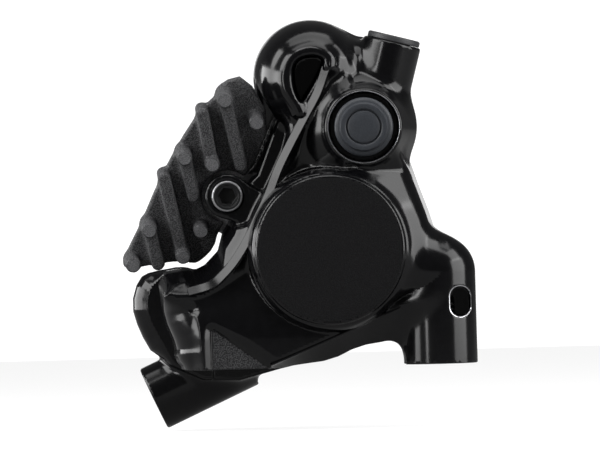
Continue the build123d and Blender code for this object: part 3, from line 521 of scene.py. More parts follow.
@dataclass
class Half:
    """What both halves of the casting share: the cylinder, the lug and the room for the pads."""

    side: Side
    casting_radius: float = 13.9
    disc_radius: float = 12.5
    lug_radius: float = 3.7
    lug_depth: float = 12.2
    arm_half: float = 3.3
    pocket_half: float = 14.3
    pocket_floor: float = -10.55
    pocket_depth: float = 5.15
    slot_depth: float = 2.3
    slot_radius: float = 71.4
    slot_reach: float = -58.0
    chamber_depth: float = 17.0
    bore_clearance: float = 0.04
    axle_bore: float = 1.95
    seal_depth: float = 9.6
    seal_width: float = 2.1
    seal_section: float = 1.6
    fin_gap: float = 0.6
    fin_travel: float = 1.4
    cell: float = 0.36

    def span(self, near: float, far: float) -> Spot:
        """Lowest and highest y of what lies between two depths from the rotor's plane."""
        ends = (PLACES.rotor_y + self.side * near, PLACES.rotor_y + self.side * far)
        return (min(ends), max(ends))

    def arm(self, p: Cloud) -> np.ndarray:
        """Lug for the pad axle, with the arm that carries it.

        Args:
            p: the points.

        Returns:
            The distance to the shape.
        """
        low, high = self.span(0, self.lug_depth)
        lug = along_y(p, PLACES.axle, self.lug_radius, low, high, 0.5)
        reach = math.dist(PLACES.piston, PLACES.axle)
        return join(lug, pad_strip(p, 0, reach, self.arm_half, low, high, 0.5), 0.6)

    def beside_fins(self, p: Cloud, body: np.ndarray) -> np.ndarray:
        """The body with room for the fins, as far as they move with their pad.

        Args:
            p: the points.
            body: distance to the body.

        Returns:
            The distance to what is left of it.
        """
        fins = CoolingFins(self.side)
        origin, width, rise, outward = fins.axes()
        across, out, up = (
            sum((c - o) * d for c, o, d in zip((p.x, p.y, p.z), origin, way))
            for way in (width, outward, rise)
        )
        outline = outline_distance(Cloud(across, 0.0, up), [fins.on_plane(spot) for spot in fins.outline])
        room = np.maximum(outline - self.fin_gap, -self.fin_travel - out)
        return cut(body, room, 0.8)

    def hollowed(self, p: Cloud, body: np.ndarray) -> np.ndarray:
        """The body with the room for the pads, the rotor, the piston and the axle cut into it.

        Args:
            p: the points.
            body: distance to the body.

        Returns:
            The distance to what is left of it.
        """
        low, high = self.span(-2, self.pocket_depth)
        body = cut(body, pad_strip(p, self.pocket_floor, 40, self.pocket_half, low, high, 0.4))
        low, high = self.span(-2, self.slot_depth)
        ox, oz = PLACES.outward
        rotor = (PLACES.piston[0] + self.slot_reach * ox, PLACES.piston[1] + self.slot_reach * oz)
        body = cut(body, along_y(p, rotor, self.slot_radius, low, high))
        low, high = self.span(0, self.chamber_depth)
        radius = PLACES.piston_radius + self.bore_clearance
        body = cut(body, along_y(p, PLACES.piston, radius, low, high), 0.1)
        low, high = self.span(self.seal_depth, self.seal_depth + self.seal_width)
        body = cut(body, along_y(p, PLACES.piston, radius + self.seal_section, low, high, 0.1), 0.1)
        low, high = self.span(self.lug_depth, self.lug_depth + 20)
        body = cut(body, along_y(p, PLACES.axle, self.lug_radius, low, high), 0.5)
        low, high = self.span(0, self.lug_depth + 1)
        body = cut(body, along_y(p, PLACES.axle, self.axle_bore, low, high, 0.1), 0.1)
        return np.maximum(body, self.side * (PLACES.rotor_y - p.y))


@dataclass
class OutboardHalf(Half):
    """Outboard half: web, ribs, disc, bleed boss, valve tube, rear boss and front foot."""

    side: Side = Side.OUTBOARD
    plate_y: float = 6.1
    web_y: float = -1.7
    web_thicker: float = 1.1
    foot_thicker: float = 2.9
    slope_y: float = -1.2
    under_y: float = -1.0
    base: tuple[Spot, ...] = (
        (-29.9, 16.4), (-25.0, 17.1), (-22.0, 18.4), (-19.8, 21.0), (-18.8, 24.5), (-16.6, 29.0),
        (-15.0, 33.0), (-13.3, 38.0), (-12.4, 42.0), (-12.0, 46.0), (-10.0, 50.0), (-3.5, 55.0),
        (4.0, 55.3), (9.0, 53.0), (11.6, 38.0), (13.2, 32.4), (16.5, 23.2), (18.5, 15.0),
        (12.0, 5.0), (8.3, 4.0), (3.4, 3.3), (-1.2, 1.1), (-6.4, 0.5), (-10.3, 0.0),
        (-10.3, -4.0), (-26.0, -4.0), (-26.0, 0.0), (-27.5, 2.1), (-27.4, 4.1), (-29.3, 8.9),
    )
    face: tuple[Spot, ...] = (
        (-29.0, 13.6), (-24.5, 13.2), (-20.3, 14.0), (-18.2, 15.5), (-15.9, 18.8), (-13.7, 23.6),
        (-11.6, 28.3), (-9.3, 32.8), (-7.2, 37.2), (-6.6, 42.0), (-8.6, 49.2), (-3.6, 54.2),
        (1.6, 52.6), (3.4, 47.0), (10.4, 37.0), (12.8, 31.5), (16.0, 22.4), (17.0, 14.0),
        (12.6, 10.6), (8.0, 8.7), (2.5, 6.3), (-4.0, 3.6), (-9.0, 1.6), (-12.0, 0.4),
        (-12.0, -4.0), (-25.0, -4.0), (-25.0, 0.0), (-26.4, 2.1), (-26.3, 4.1), (-28.4, 9.0),
    )
    rib: tuple[Point, ...] = (
        (-30.0, -4.0, 13.1), (-24.6, -4.6, 12.5), (-20.7, -4.8, 13.6), (-18.4, -4.7, 15.4),
        (-16.3, -4.5, 17.8), (-14.4, -4.2, 20.7), (-12.6, -4.2, 24.1), (-10.6, -4.2, 28.1),
        (-8.6, -4.3, 33.0), (-6.4, -4.4, 37.2), (-4.05, -4.5, 41.4), (-1.8, -4.6, 45.4), (-0.2, -4.8, 49.6),
    )
    ring: tuple[Point, ...] = (
        (-5.4, -4.4, 42.4), (-6.2, -4.3, 44.2), (-7.2, -4.2, 46.3), (-7.5, -4.1, 48.0), (-7.2, -4.1, 49.6),
        (-6.3, -4.1, 51.2), (-5.0, -4.1, 52.1), (-3.2, -4.1, 52.6), (-1.6, -4.2, 52.2), (-0.4, -4.4, 51.3),
        (-0.3, -4.7, 50.2),
    )
    lower_crest: tuple[Spot, ...] = (
        (12.4, 10.5), (8.0, 8.65), (2.5, 6.25), (-4.0, 3.55), (-9.0, 1.55), (-11.4, 0.6),
    )
    rib_rise: float = 0.7
    rib_rise_high: float = 1.0
    rib_half: float = 0.25
    rib_fall: float = 0.9
    ring_radius: float = 0.4
    ring_sunk: float = 0.6
    rim_radius: float = 12.75
    rim_foot: float = 14.0
    rim_y: float = -7.5
    rim_gap: float = 0.1
    rim_width: float = 1.2
    shoulder_width: float = 5.4
    edge_round: float = 0.4
    shoulder_round: float = 1.0
    end_round: float = 4.9
    step_depth: float = 0.6
    foot_y: float = -5.8
    pocket: tuple[Spot, ...] = ((-20.9, 6.6), (-10.9, -0.6), (-21.0, -0.6))
    pocket_rim: float = 1.4
    pocket_deep: float = 1.2
    window: tuple[Spot, ...] = (
        (-6.45, 49.4), (-6.1, 50.7), (-4.95, 51.7), (-2.6, 52.0), (-0.9, 51.2), (-1.8, 49.2),
        (-4.1, 45.2), (-5.1, 44.0), (-5.8, 45.0), (-6.3, 46.6),
    )
    lip: tuple[Spot, ...] = ((1.9, 33.6), (7.5, 34.4), (7.4, 35.4), (1.8, 34.8))
    dome: Spot = (-3.5, 48.4)
    dome_radius: float = 9.46
    dome_y: float = -3.3
    dome_round: float = 4.9
    dome_rise: float = 0.5
    shelf_y: float = 1.6
    back_y: float = 16.0
    tube_radius: float = 4.75
    tube_length: float = 14.4
    valve_bore: float = 2.9
    valve_depth: float = 10.6
    boss_x: float = 17.0
    boss_radius: float = 6.15
    boss_height: float = 15.3
    bleed_radius: float = 6.35
    bleed_foot: float = 9.0
    bleed_y: float = -6.2
    bleed_well: float = 5.85
    well_y: float = -4.3
    skirt_radius: float = 12.2
    skirt_y: float = -5.6
    slot: Spot = (20.45, 10.31)
    slot_straight: float = 0.85
    slot_half: float = 1.65
    slot_low: float = -8.15
    slot_high: float = -0.15
    foot_bore: float = 2.1
    foot_depth: float = 11.0
    axle_seat: float = 2.65
    axle_seat_y: float = 2.1

    def plain_front(self, p: Cloud) -> np.ndarray:
        """Height y of the outer face without the disc: hollow beside the rib, proud at the foot.

        Args:
            p: the points.

        Returns:
            The height at each of them, in millimetres.
        """
        low = self.web_y - self.web_thicker * smooth(p.z, 30.0, 18.0)
        low = low - self.foot_thicker * smooth(p.z, 17.0, 5.0)
        line = curve(self.rib)
        away = rope(Cloud(p.x, 0.0, p.z), [(x, 0.0, z) for x, _, z in line], (0.0,) * len(line))
        rise = self.rib_rise + self.rib_rise_high * smooth(p.z, 13.0, 20.0)
        return low - rise * np.exp(-np.maximum(away - self.rib_half, 0.0) / self.rib_fall)

    def front(self, p: Cloud) -> np.ndarray:
        """Height y of the outer face, raised round the disc.

        Args:
            p: the points.

        Returns:
            The height at each of them, in millimetres.
        """
        low = self.plain_front(p)
        right = smooth(p.x, 1.0, 9.0) * smooth(p.z, 10.0, 16.0)
        out = np.hypot(p.x - PLACES.piston[0], p.z - PLACES.piston[1]) - self.disc_radius
        share = np.clip((out - self.rim_gap) / (self.rim_width + self.shoulder_width * right), 0.0, 1.0)
        fall = share * (1.0 + (1.0 - right) * (share - 1.0))
        return low + np.minimum(self.rim_y - low, 0.0) * (1.0 - fall)

    def web(self, p: Cloud) -> np.ndarray:
        """Web that narrows from the parting plane to its outer face.

        Args:
            p: the points.

        Returns:
            The distance to the shape.
        """
        base = outline_distance(p, softened(self.base))
        face = outline_distance(p, softened(self.face))
        front = self.front(p)
        left = smooth(p.x, -8.0, -12.0) * smooth(p.z, 8.0, 11.0) * smooth(p.x, -29.5, -27.5)
        under = smooth(p.z - 0.45 * p.x, 9.0, 7.0) * smooth(p.x, -12.0, -9.0) * smooth(p.x, 14.0, 11.0)
        start = self.plate_y + (self.slope_y - self.plate_y) * left
        start = start + (self.under_y - self.plate_y) * under
        t = np.clip((start - p.y) / (start - front), 0.0, 1.0)
        side = (base + (face - base) * t) * 0.8
        shoulder = smooth(p.x, 1.0, 8.0) * smooth(p.z, 13.0, 19.0)
        end = smooth(p.x, -20.5, -24.5) * smooth(p.z, 12.5, 9.5)
        edge = self.edge_round + self.shoulder_round * shoulder + self.end_round * end
        low = rounded_both(side, (front - p.y) * 0.85, edge)
        wall = (face - np.clip(p.y - front, 0.0, self.step_depth)) * 0.8
        shelf = rounded_both(base * 0.9, self.shelf_y - p.y, 0.5)
        high = join(rounded_both(wall, (front - p.y) * 0.85, 0.3), shelf, 0.6)
        return low + (high - low) * smooth(p.z, 22.5, 25.0) * smooth(p.x, -3.0, -6.0)

    def shape(self, p: Cloud) -> np.ndarray:
        """The whole half, as a distance field.

        Args:
            p: the points.

        Returns:
            The distance to the shape.
        """
        body = self.web(p)
        across = np.hypot(p.x - self.dome[0], p.z - self.dome[1]) - self.dome_radius
        dome = rounded_both(across, (self.dome_y - p.y) * self.dome_rise, self.dome_round)
        body = join(body, np.maximum(dome, p.y - self.back_y), 1.6)
        ends = [(self.boss_x, 0.0, z) for z in (-8.0, self.boss_height)]
        body = join(body, rope(p, ends, (self.boss_radius, self.boss_radius)), 3.4)
        top = PLACES.valve_top
        low = tuple(t - self.tube_length * a for t, a in zip(top, PLACES.valve_axis))
        body = join(body, bar(p, low, top, self.tube_radius, 0.35), 3.0)
        boss = cone_y(p, PLACES.bleed, self.bleed_radius, self.bleed_foot, self.bleed_y, 3.0, 0.35)
        body = join(body, boss, 1.8)
        skirt = cone_y(p, PLACES.bleed, self.bleed_radius, self.skirt_radius, self.skirt_y, -0.5, 0.35)
        body = join(body, rounded_both(skirt, outline_distance(p, self.face), 1.2), 0.8)
        ring = [(x, y + self.ring_sunk, z) for x, y, z in curve(self.ring)]
        body = join(body, rope(p, ring, (self.ring_radius,) * len(ring)), 2.4)
        rim = cone_y(p, PLACES.piston, self.rim_radius, self.rim_foot, self.rim_y - 0.1, 1.0, 0.5)
        body = join(body, rim, 1.2)
        disc = along_y(p, PLACES.piston, self.disc_radius, PLACES.disc_y, self.back_y, 0.5)
        body = join(body, disc, 0.3)
        body = join(body, prism(p, self.lip, -6.0, 0.0, 0.2), 0.4)
        body = self.beside_fins(p, body)
        body = join(body, self.arm(p), 0.8)
        return self.openings(p, body)

    def openings(self, p: Cloud, body: np.ndarray) -> np.ndarray:
        """The body with its holes, pockets and windows.

        Args:
            p: the points.
            body: distance to the body.

        Returns:
            The distance to what is left of it.
        """
        body = cut(body, prism(p, softened(self.window, 2), -9.0, 2.9, 0.5), 0.4)
        wall = (outline_distance(p, self.pocket) - self.pocket_rim) * 0.68 + (p.y - self.foot_y) * 0.73
        body = cut(body, np.maximum(wall, p.y - self.foot_y - self.pocket_deep), 0.7)
        body = cut(body, along_y(p, PLACES.bleed, self.bleed_well, -9.0, self.well_y, 0.2), 0.2)
        top, axis = PLACES.valve_top, PLACES.valve_axis
        ends = [tuple(t + d * a for t, a in zip(top, axis)) for d in (1.0, -self.valve_depth)]
        body = cut(body, bar(p, ends[0], ends[1], self.valve_bore), 0.2)
        rise = np.maximum(np.abs(p.z - self.slot[1]) - self.slot_straight, 0.0)
        slot = np.hypot(p.x - self.slot[0], rise) - self.slot_half
        body = cut(body, rounded_both(slot, between(p.y, self.slot_low, self.slot_high), 0.1), 0.25)
        for x in (-PLACES.bolt_x, PLACES.bolt_x):
            body = cut(body, bar(p, (x, 0.0, -3.0), (x, 0.0, self.foot_depth), self.foot_bore), 0.4)
        body = self.hollowed(p, body)
        body = cut(body, along_y(p, PLACES.axle, self.axle_seat, -2.0, self.axle_seat_y, 0.1), 0.3)
        return np.maximum(body, -p.z)

    def build(self) -> bpy.types.Object:
        """Makes the half's mesh and hides its plain solid.

        Returns:
            The new object.
        """
        low, high = (-30.6, -8.6, 0.0), (24.0, 12.5, 58.4)
        made = surface("Outboard_casting", self.shape, low, high, self.cell, True)
        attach(made, "caliper")
        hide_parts("outboard_body")
        return made

    def dress(self, made: bpy.types.Object, paint: bpy.types.Material, matte: bpy.types.Material,
              grit: bpy.types.Material) -> None:
        """Paints the half, with its disc matte and the floor of its pocket blasted.

        Args:
            made: the half's mesh.
            paint: the gloss paint.
            matte: the disc's finish.
            grit: the finish of the pocket's floor.
        """
        for material in (paint, matte, grit):
            made.data.materials.append(material)
        centres = np.zeros(len(made.data.polygons) * 3)
        made.data.polygons.foreach_get("center", centres)
        x, y, z = (centres.reshape(-1, 3) / MM).T
        disc = (np.hypot(x - PLACES.piston[0], z - PLACES.piston[1]) < self.disc_radius - 0.4)
        disc &= y < PLACES.disc_y + 0.6
        floor = outline_distance(Cloud(x, y, z), self.pocket) < 0.0
        floor &= np.abs(y - self.foot_y - self.pocket_deep) < 0.3
        chosen = np.where(disc, 1, np.where(floor, 2, 0)).astype(np.int32)
        made.data.polygons.foreach_set("material_index", chosen)


@dataclass
class InboardHalf(Half):
    """Inboard half: web, disc, bolt bosses and the tube of the hose port."""

    side: Side = Side.INBOARD
    plate_y: float = 18.9
    web_y: float = 26.1
    base: tuple[Spot, ...] = (
        (-33.2, 15.4), (-30.9, 16.6), (-25.0, 17.1), (-20.0, 17.3), (-14.8, 22.5), (-11.0, 30.0),
        (-8.0, 38.0), (-8.7, 43.0), (-10.0, 50.0), (-3.5, 55.0), (4.0, 55.3), (9.0, 53.0),
        (11.6, 38.0), (13.2, 32.4), (15.2, 24.0), (13.6, 11.0), (8.3, 4.0), (3.4, 3.3),
        (-1.2, 1.1), (-6.4, 0.5), (-20.0, -3.0), (-30.9, 2.2), (-33.3, 6.6), (-34.5, 11.0),
    )
    face: tuple[Spot, ...] = (
        (-30.6, 13.9), (-29.0, 14.5), (-24.5, 14.5), (-19.4, 15.4), (-15.3, 21.5), (-11.9, 28.4),
        (-7.4, 36.4), (-7.8, 41.5), (-8.2, 48.7), (-3.5, 52.2), (2.0, 51.6), (6.5, 48.1),
        (9.9, 37.4), (11.6, 31.5), (13.3, 23.2), (11.9, 12.2), (7.3, 7.0), (2.7, 5.5),
        (-2.0, 3.8), (-6.8, 2.6), (-19.0, -0.6), (-28.9, 3.5), (-30.6, 7.2), (-31.1, 11.0),
    )
    dome: Spot = (-3.5, 48.4)
    dome_radius: float = 9.5
    bolt_boss_radius: float = 6.2
    bolt_boss_y: float = 28.3
    bolt_seat_y: float = 23.5
    bolt_head_room: float = 4.25
    port_radius: float = 5.5
    port_length: float = 17.0
    thread_radius: float = 3.6
    thread_depth: float = 9.0

    def web(self, p: Cloud) -> np.ndarray:
        """Web that narrows from the parting plane to its inboard face, round at its left end.

        Args:
            p: the points.

        Returns:
            The distance to the shape.
        """
        base = outline_distance(p, softened(self.base))
        face = outline_distance(p, softened(self.face))
        t = np.clip((p.y - self.plate_y) / (self.web_y - self.plate_y), 0.0, 1.0)
        side = (base + (face - base) * t) * 0.9
        left = smooth(p.x, -27.0, -31.0)
        near = rounded_both(side, PLACES.rotor_y - p.y, 0.4 + 2.8 * left)
        return rounded_both(near, p.y - self.web_y, 1.6)

    def shape(self, p: Cloud) -> np.ndarray:
        """The whole half, as a distance field.

        Args:
            p: the points.

        Returns:
            The distance to the shape.
        """
        body = self.web(p)
        dome = along_y(p, self.dome, self.dome_radius, PLACES.rotor_y, self.web_y - 3.6, 3.0)
        body = join(body, dome, 1.5)
        for centre in PLACES.body_bolts:
            boss = along_y(p, centre, self.bolt_boss_radius, PLACES.rotor_y, self.bolt_boss_y, 0.6)
            body = join(body, boss, 1.4)
        mouth, axis = PLACES.hose_mouth, PLACES.hose_axis
        end = tuple(m + self.port_length * a for m, a in zip(mouth, axis))
        body = join(body, bar(p, mouth, end, self.port_radius, 0.35), 1.6)
        high = PLACES.inner_y
        barrel = along_y(p, PLACES.piston, self.casting_radius, PLACES.rotor_y, high - 1.0, 1.6)
        body = join(body, barrel, 2.4)
        body = join(body, along_y(p, PLACES.piston, self.disc_radius, PLACES.rotor_y, high, 0.3), 0.3)
        body = self.beside_fins(p, body)
        body = join(body, self.arm(p), 1.0)
        body = self.hollowed(p, body)
        for centre in PLACES.body_bolts:
            room = along_y(p, centre, self.bolt_head_room, self.bolt_seat_y, self.bolt_boss_y + 3, 0.1)
            body = cut(body, room, 0.3)
        proud, deep = (tuple(m + d * a for m, a in zip(mouth, axis)) for d in (-2.0, self.thread_depth))
        return cut(body, bar(p, proud, deep, self.thread_radius), 0.9)

    def build(self) -> bpy.types.Object:
        """Makes the half's mesh and hides its plain solid.

        Returns:
            The new object.
        """
        low, high = (-35.2, 12.5, -10.8), (16.0, 31.6, 58.4)
        made = surface("Inboard_casting", self.shape, low, high, self.cell, True)
        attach(made, "caliper")
        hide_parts("inboard_body")
        return made


# The pads' fins

@dataclass
class CoolingFins:
    """Cast plate with bars and pegs that leans out from one pad's tail."""

    side: Side
    tilt: float = 17.0
    lean: float = 14.0
    plate: float = 1.5
    plate_depth: float = 6.0
    bar_radius: float = 1.05
    bar_height: float = 2.8
    peg_radius: float = 1.25
    peg_height: float = 3.6
    outline: tuple[Spot, ...] = (
        (-18.2, 48.2), (-14.3, 49.1), (-10.1, 41.6), (-13.6, 33.6), (-16.3, 31.3), (-18.0, 25.5),
        (-19.7, 23.2), (-20.4, 20.6), (-22.5, 18.6), (-23.9, 18.0), (-26.0, 18.7), (-35.1, 17.4),
        (-35.8, 18.4), (-34.6, 20.9), (-32.4, 25.0), (-29.4, 31.6), (-25.9, 37.9), (-22.0, 43.6),
        (-19.1, 46.1),
    )
    bars: tuple[tuple[Spot, Spot], ...] = (
        ((-18.1, 46.4), (-15.7, 35.0)), ((-21.8, 43.7), (-20.5, 35.5)), ((-25.1, 37.0), (-23.7, 30.1)),
        ((-28.5, 33.1), (-25.8, 20.3)), ((-31.3, 25.1), (-30.0, 18.9)),
    )
    pegs: tuple[Spot, ...] = (
        (-18.1, 46.1), (-12.9, 42.3), (-20.5, 35.5), (-25.1, 36.7), (-22.7, 24.5),
        (-25.8, 20.3), (-31.3, 24.8), (-34.2, 19.1),
    )
    root_half: float = 4.5
    root_length: float = 4.2
    spring_room: float = 6.05
    lug_room: float = 4.3
    arm_room: float = 3.9
    cell: float = 0.26

    def axes(self) -> tuple[Vector, Vector, Vector, Vector]:
        """The plate's inner face: its origin, and the directions of its width, its rise and outwards.

        Returns:
            The origin in millimetres, and the three directions.
        """
        tilt, lean = math.radians(self.tilt), math.radians(self.lean)
        rise = Vector((-math.sin(lean) * math.cos(tilt), self.side * math.sin(tilt),
                       math.cos(lean) * math.cos(tilt)))
        width = Vector((math.cos(lean), 0.0, math.sin(lean)))
        outward = width.cross(rise) * -self.side
        origin = Vector((PLACES.axle[0], PLACES.rotor_y + self.side * self.plate_depth, PLACES.axle[1]))
        return origin, width, rise, outward

    def on_plane(self, spot: Spot) -> Spot:
        """Point of the plate's plane behind a point of the side view.

        Args:
            spot: x and z in the side view.

        Returns:
            The point's places along the width and along the rise.
        """
        lean, tilt = math.radians(self.lean), math.radians(self.tilt)
        dx, dz = spot[0] - PLACES.axle[0], spot[1] - PLACES.axle[1]
        return (dx * math.cos(lean) + dz * math.sin(lean),
                (dz * math.cos(lean) - dx * math.sin(lean)) / math.cos(tilt))

    def shape(self, p: Cloud) -> np.ndarray:
        """The fins in their own frame: x along the width, z along the rise, y inwards.

        Args:
            p: the points.

        Returns:
            The distance to the shape.
        """
        outline = softened([self.on_plane(spot) for spot in self.outline])
        body = prism(p, outline, -self.plate, 0.0, 0.35)
        for start, end in self.bars:
            (ax, az), (bx, bz) = self.on_plane(start), self.on_plane(end)
            plan = rope(Cloud(p.x, 0.0, p.z), ((ax, 0, az), (bx, 0, bz)), (self.bar_radius,) * 2)
            height = self.plate + self.bar_height
            body = join(body, rounded_both(plan, between(p.y, -height, 0.0), 0.4), 0.7)
        for peg in self.pegs:
            height = self.plate + self.peg_height
            body = join(body, along_y(p, self.on_plane(peg), self.peg_radius, -height, 0.0, 0.22), 0.5)
        origin, width, rise, outward = self.axes()
        world = Cloud(*(
            origin[i] + p.x * width[i] - p.y * outward[i] + p.z * rise[i] for i in range(3)
        ))
        reach = math.dist(PLACES.piston, PLACES.axle)
        inside = rounded_both(
            pad_strip(world, reach + 4.0, reach + 8.2, self.root_half, -60.0, 60.0),
            between(p.y, -0.5, self.root_length + 0.5), 0.3)
        body = join(body, inside, 0.6)
        low, high = sorted((PLACES.rotor_y - self.side, PLACES.rotor_y + self.side * 5.0))
        body = cut(body, pad_strip(world, 10.25, 46.8, self.spring_room, low, high, 0.1), 0.1)
        low, high = sorted((PLACES.rotor_y + self.side * 4.0, PLACES.rotor_y + self.side * 33.0))
        body = cut(body, along_y(world, PLACES.axle, self.lug_room, low, high, 0.1), 0.4)
        return cut(body, pad_strip(world, 0.0, reach, self.arm_room, low, high, 0.1), 0.4)

    def build(self) -> bpy.types.Object:
        """Makes the fins' mesh, turned into place on their pad.

        Returns:
            The new object.
        """
        spots = [self.on_plane(spot) for spot in self.outline]
        low = (min(s[0] for s in spots) - 0.3, -5.4, min(s[1] for s in spots) - 0.3)
        high = (max(s[0] for s in spots) + 0.3, 5.0, max(s[1] for s in spots) + 0.3)
        which = self.side.name.lower()
        made = surface(f"{which.capitalize()}_fins", self.shape, low, high, self.cell)
        origin, width, rise, outward = self.axes()
        set_in_place(made, (width, -outward, rise), origin)
        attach(made, f"{which}_pad")
        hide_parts(f"{which}_pad_fins")
        return made


# Small pieces

def spun(name: str, profile: Sequence[Spot], start: Sequence[float], axis: Sequence[float],
         steps: int = 96) -> bpy.types.Object:
    """Turned piece from its profile.

    Args:
        name: the new object's name.
        profile: radius and distance along the axis of each corner, from one end to the other.
        start: the point of the axis that the distances are measured from.
        axis: direction of the axis.
        steps: sides round the axis.

    Returns:
        The new object, closed at both ends, with sharp corners kept crisp.
    """
    built = bmesh.new()
    along = Vector(axis).normalized()
    side = along.orthogonal().normalized()
    other = along.cross(side)
    rings: list[list[bmesh.types.BMVert]] = []
    for radius, distance in profile:
        centre = Vector(start) + along * distance
        if radius < 1e-6:
            rings.append([built.verts.new(centre * MM)])
            continue
        angles = [2 * math.pi * i / steps for i in range(steps)]
        spokes = [side * math.cos(a) + other * math.sin(a) for a in angles]
        rings.append([built.verts.new((centre + spoke * radius) * MM) for spoke in spokes])
    for low, high in zip(rings, rings[1:]):
        for i in range(steps):
            j = (i + 1) % steps
            corners = [low[i % len(low)], low[j % len(low)], high[j % len(high)], high[i % len(high)]]
            corners = list(dict.fromkeys(corners))
            if len(corners) >= 3:
                built.faces.new(corners)
    for ring in (rings[0], rings[-1]):
        if len(ring) > 1:
            built.faces.new(ring)
    bmesh.ops.recalc_face_normals(built, faces=built.faces)
    return finished_mesh(name, built)


def finished_mesh(name: str, built: bmesh.types.BMesh, angle: float = 35.0) -> bpy.types.Object:
    """New object from a mesh being built, smooth but for its corners above an angle in degrees.

    Args:
        name: the new object's name.
        built: the mesh being built, which is freed.
        angle: the corners above it stay sharp.

    Returns:
        The new object.
    """
    mesh = bpy.data.meshes.new(name)
    for edge in built.edges:
        edge.smooth = len(edge.link_faces) == 2 and edge.calc_face_angle(0.0) < math.radians(angle)
    for face in built.faces:
        face.smooth = True
    built.to_mesh(mesh)
    built.free()
    return placed(name, mesh)


@dataclass
class BleedCap:
    """Rubber cap over the bleed nipple, with concentric rings on its face."""

    radius: float = 4.9
    length: float = 3.9
    wall: float = 1.1
    hollow: float = 2.5

    def build(self) -> bpy.types.Object:
        """Spins the cap from its profile, its open end towards the boss.

        Returns:
            The new object.
        """
        length, radius = self.length, self.radius
        profile = [
            (self.hollow, 0.0), (radius - 0.15, 0.0), (radius, 0.15), (radius, length - 1.25),
            (radius - 0.1, length - 1.0), (radius - 0.4, length - 0.8), (radius - 0.75, length - 0.72),
            (4.1, length - 0.55), (4.0, length - 0.2), (3.85, length - 0.04), (3.6, length),
            (3.15, length), (3.0, length - 0.1), (2.93, length - 0.4), (2.75, length - 0.42),
            (2.65, length - 0.14), (2.45, length - 0.05), (1.2, length - 0.02), (0.0, length),
        ]
        cavity = [(0.0, length - self.wall), (self.hollow - 0.3, length - self.wall),
                  (self.hollow, length - self.wall - 0.3), (self.hollow, 0.0)]
        start = (PLACES.bleed[0], PLACES.bleed_low + length, PLACES.bleed[1])
        made = spun("Bleed_cap", cavity[:-1] + profile, start, (0, -1, 0))
        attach(made, "bleed_cap_unit")
        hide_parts("bleed_cap")
        return made


@dataclass
class ValveCap:
    """Flat plastic cap on the valve tube, with a hollow plug."""

    radius: float = 4.4
    thickness: float = 1.0
    plug_radius: float = 2.85
    plug_length: float = 1.6
    wall: float = 0.8

    def build(self) -> bpy.types.Object:
        """Spins the cap from its profile.

        Returns:
            The new object.
        """
        inner = self.plug_radius - self.wall
        profile = [
            (0.0, 0.0), (inner, 0.0), (inner, -self.plug_length), (self.plug_radius, -self.plug_length),
            (self.plug_radius, 0.0), (self.radius - 0.1, 0.0), (self.radius, 0.12),
            (self.radius, self.thickness - 0.3), (self.radius - 0.08, self.thickness - 0.12),
            (self.radius - 0.3, self.thickness), (2.6, self.thickness), (2.5, self.thickness - 0.12),
            (0.0, self.thickness - 0.12),
        ]
        start = tuple(t + 0.05 * a for t, a in zip(PLACES.valve_top, PLACES.valve_axis))
        made = spun("Valve_cap", profile, start, PLACES.valve_axis)
        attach(made, "valve_cap_unit")
        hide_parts("valve_cap")
        return made


@dataclass
class PadAxle:
    """Pad axle with a chamfered head, a hex socket and a ring groove."""

    head_radius: float = 2.6
    head_y: float = -0.3
    seat_y: float = 2.1
    shank_radius: float = 1.9
    end_y: float = 26.7
    socket_radius: float = 1.5
    socket_depth: float = 1.6
    groove_radius: float = 1.4
    groove_low: float = 24.75
    groove_high: float = 25.45

    def shape(self, p: Cloud) -> np.ndarray:
        """The axle as a distance field.

        Args:
            p: the points.

        Returns:
            The distance to the shape.
        """
        head = along_y(p, PLACES.axle, self.head_radius, self.head_y, self.seat_y, 0.25)
        rim = along_y(p, PLACES.axle, self.head_radius - 0.75, self.head_y - 1, self.head_y + 0.12, 0.05)
        body = np.minimum(cut(head, rim, 0.08),
                          along_y(p, PLACES.axle, self.shank_radius, self.seat_y - 0.3, self.end_y, 0.3))
        dx, dz = p.x - PLACES.axle[0], p.z - PLACES.axle[1]
        flat = self.socket_radius * math.cos(math.pi / 6)
        hexagon = None
        for turn in (0.4, 0.4 + math.pi / 3, 0.4 + 2 * math.pi / 3):
            wall = np.abs(dx * math.cos(turn) + dz * math.sin(turn)) - flat
            hexagon = wall if hexagon is None else np.maximum(hexagon, wall)
        deep = self.head_y + self.socket_depth
        body = cut(body, np.maximum(hexagon, p.y - deep), 0.1)
        groove = between(p.y, self.groove_low, self.groove_high)
        ring = np.maximum(self.groove_radius - np.hypot(dx, dz), groove)
        return np.maximum(body, -ring)

    def build(self) -> bpy.types.Object:
        """Makes the axle's mesh.

        Returns:
            The new object.
        """
        (x, z), reach = PLACES.axle, self.head_radius + 0.1
        low, high = (x - reach, self.head_y, z - reach), (x + reach, self.end_y, z + reach)
        made = surface("Pad_axle", self.shape, low, high, 0.16, True)
        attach(made, "caliper")
        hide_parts("pad_axle")
        return made


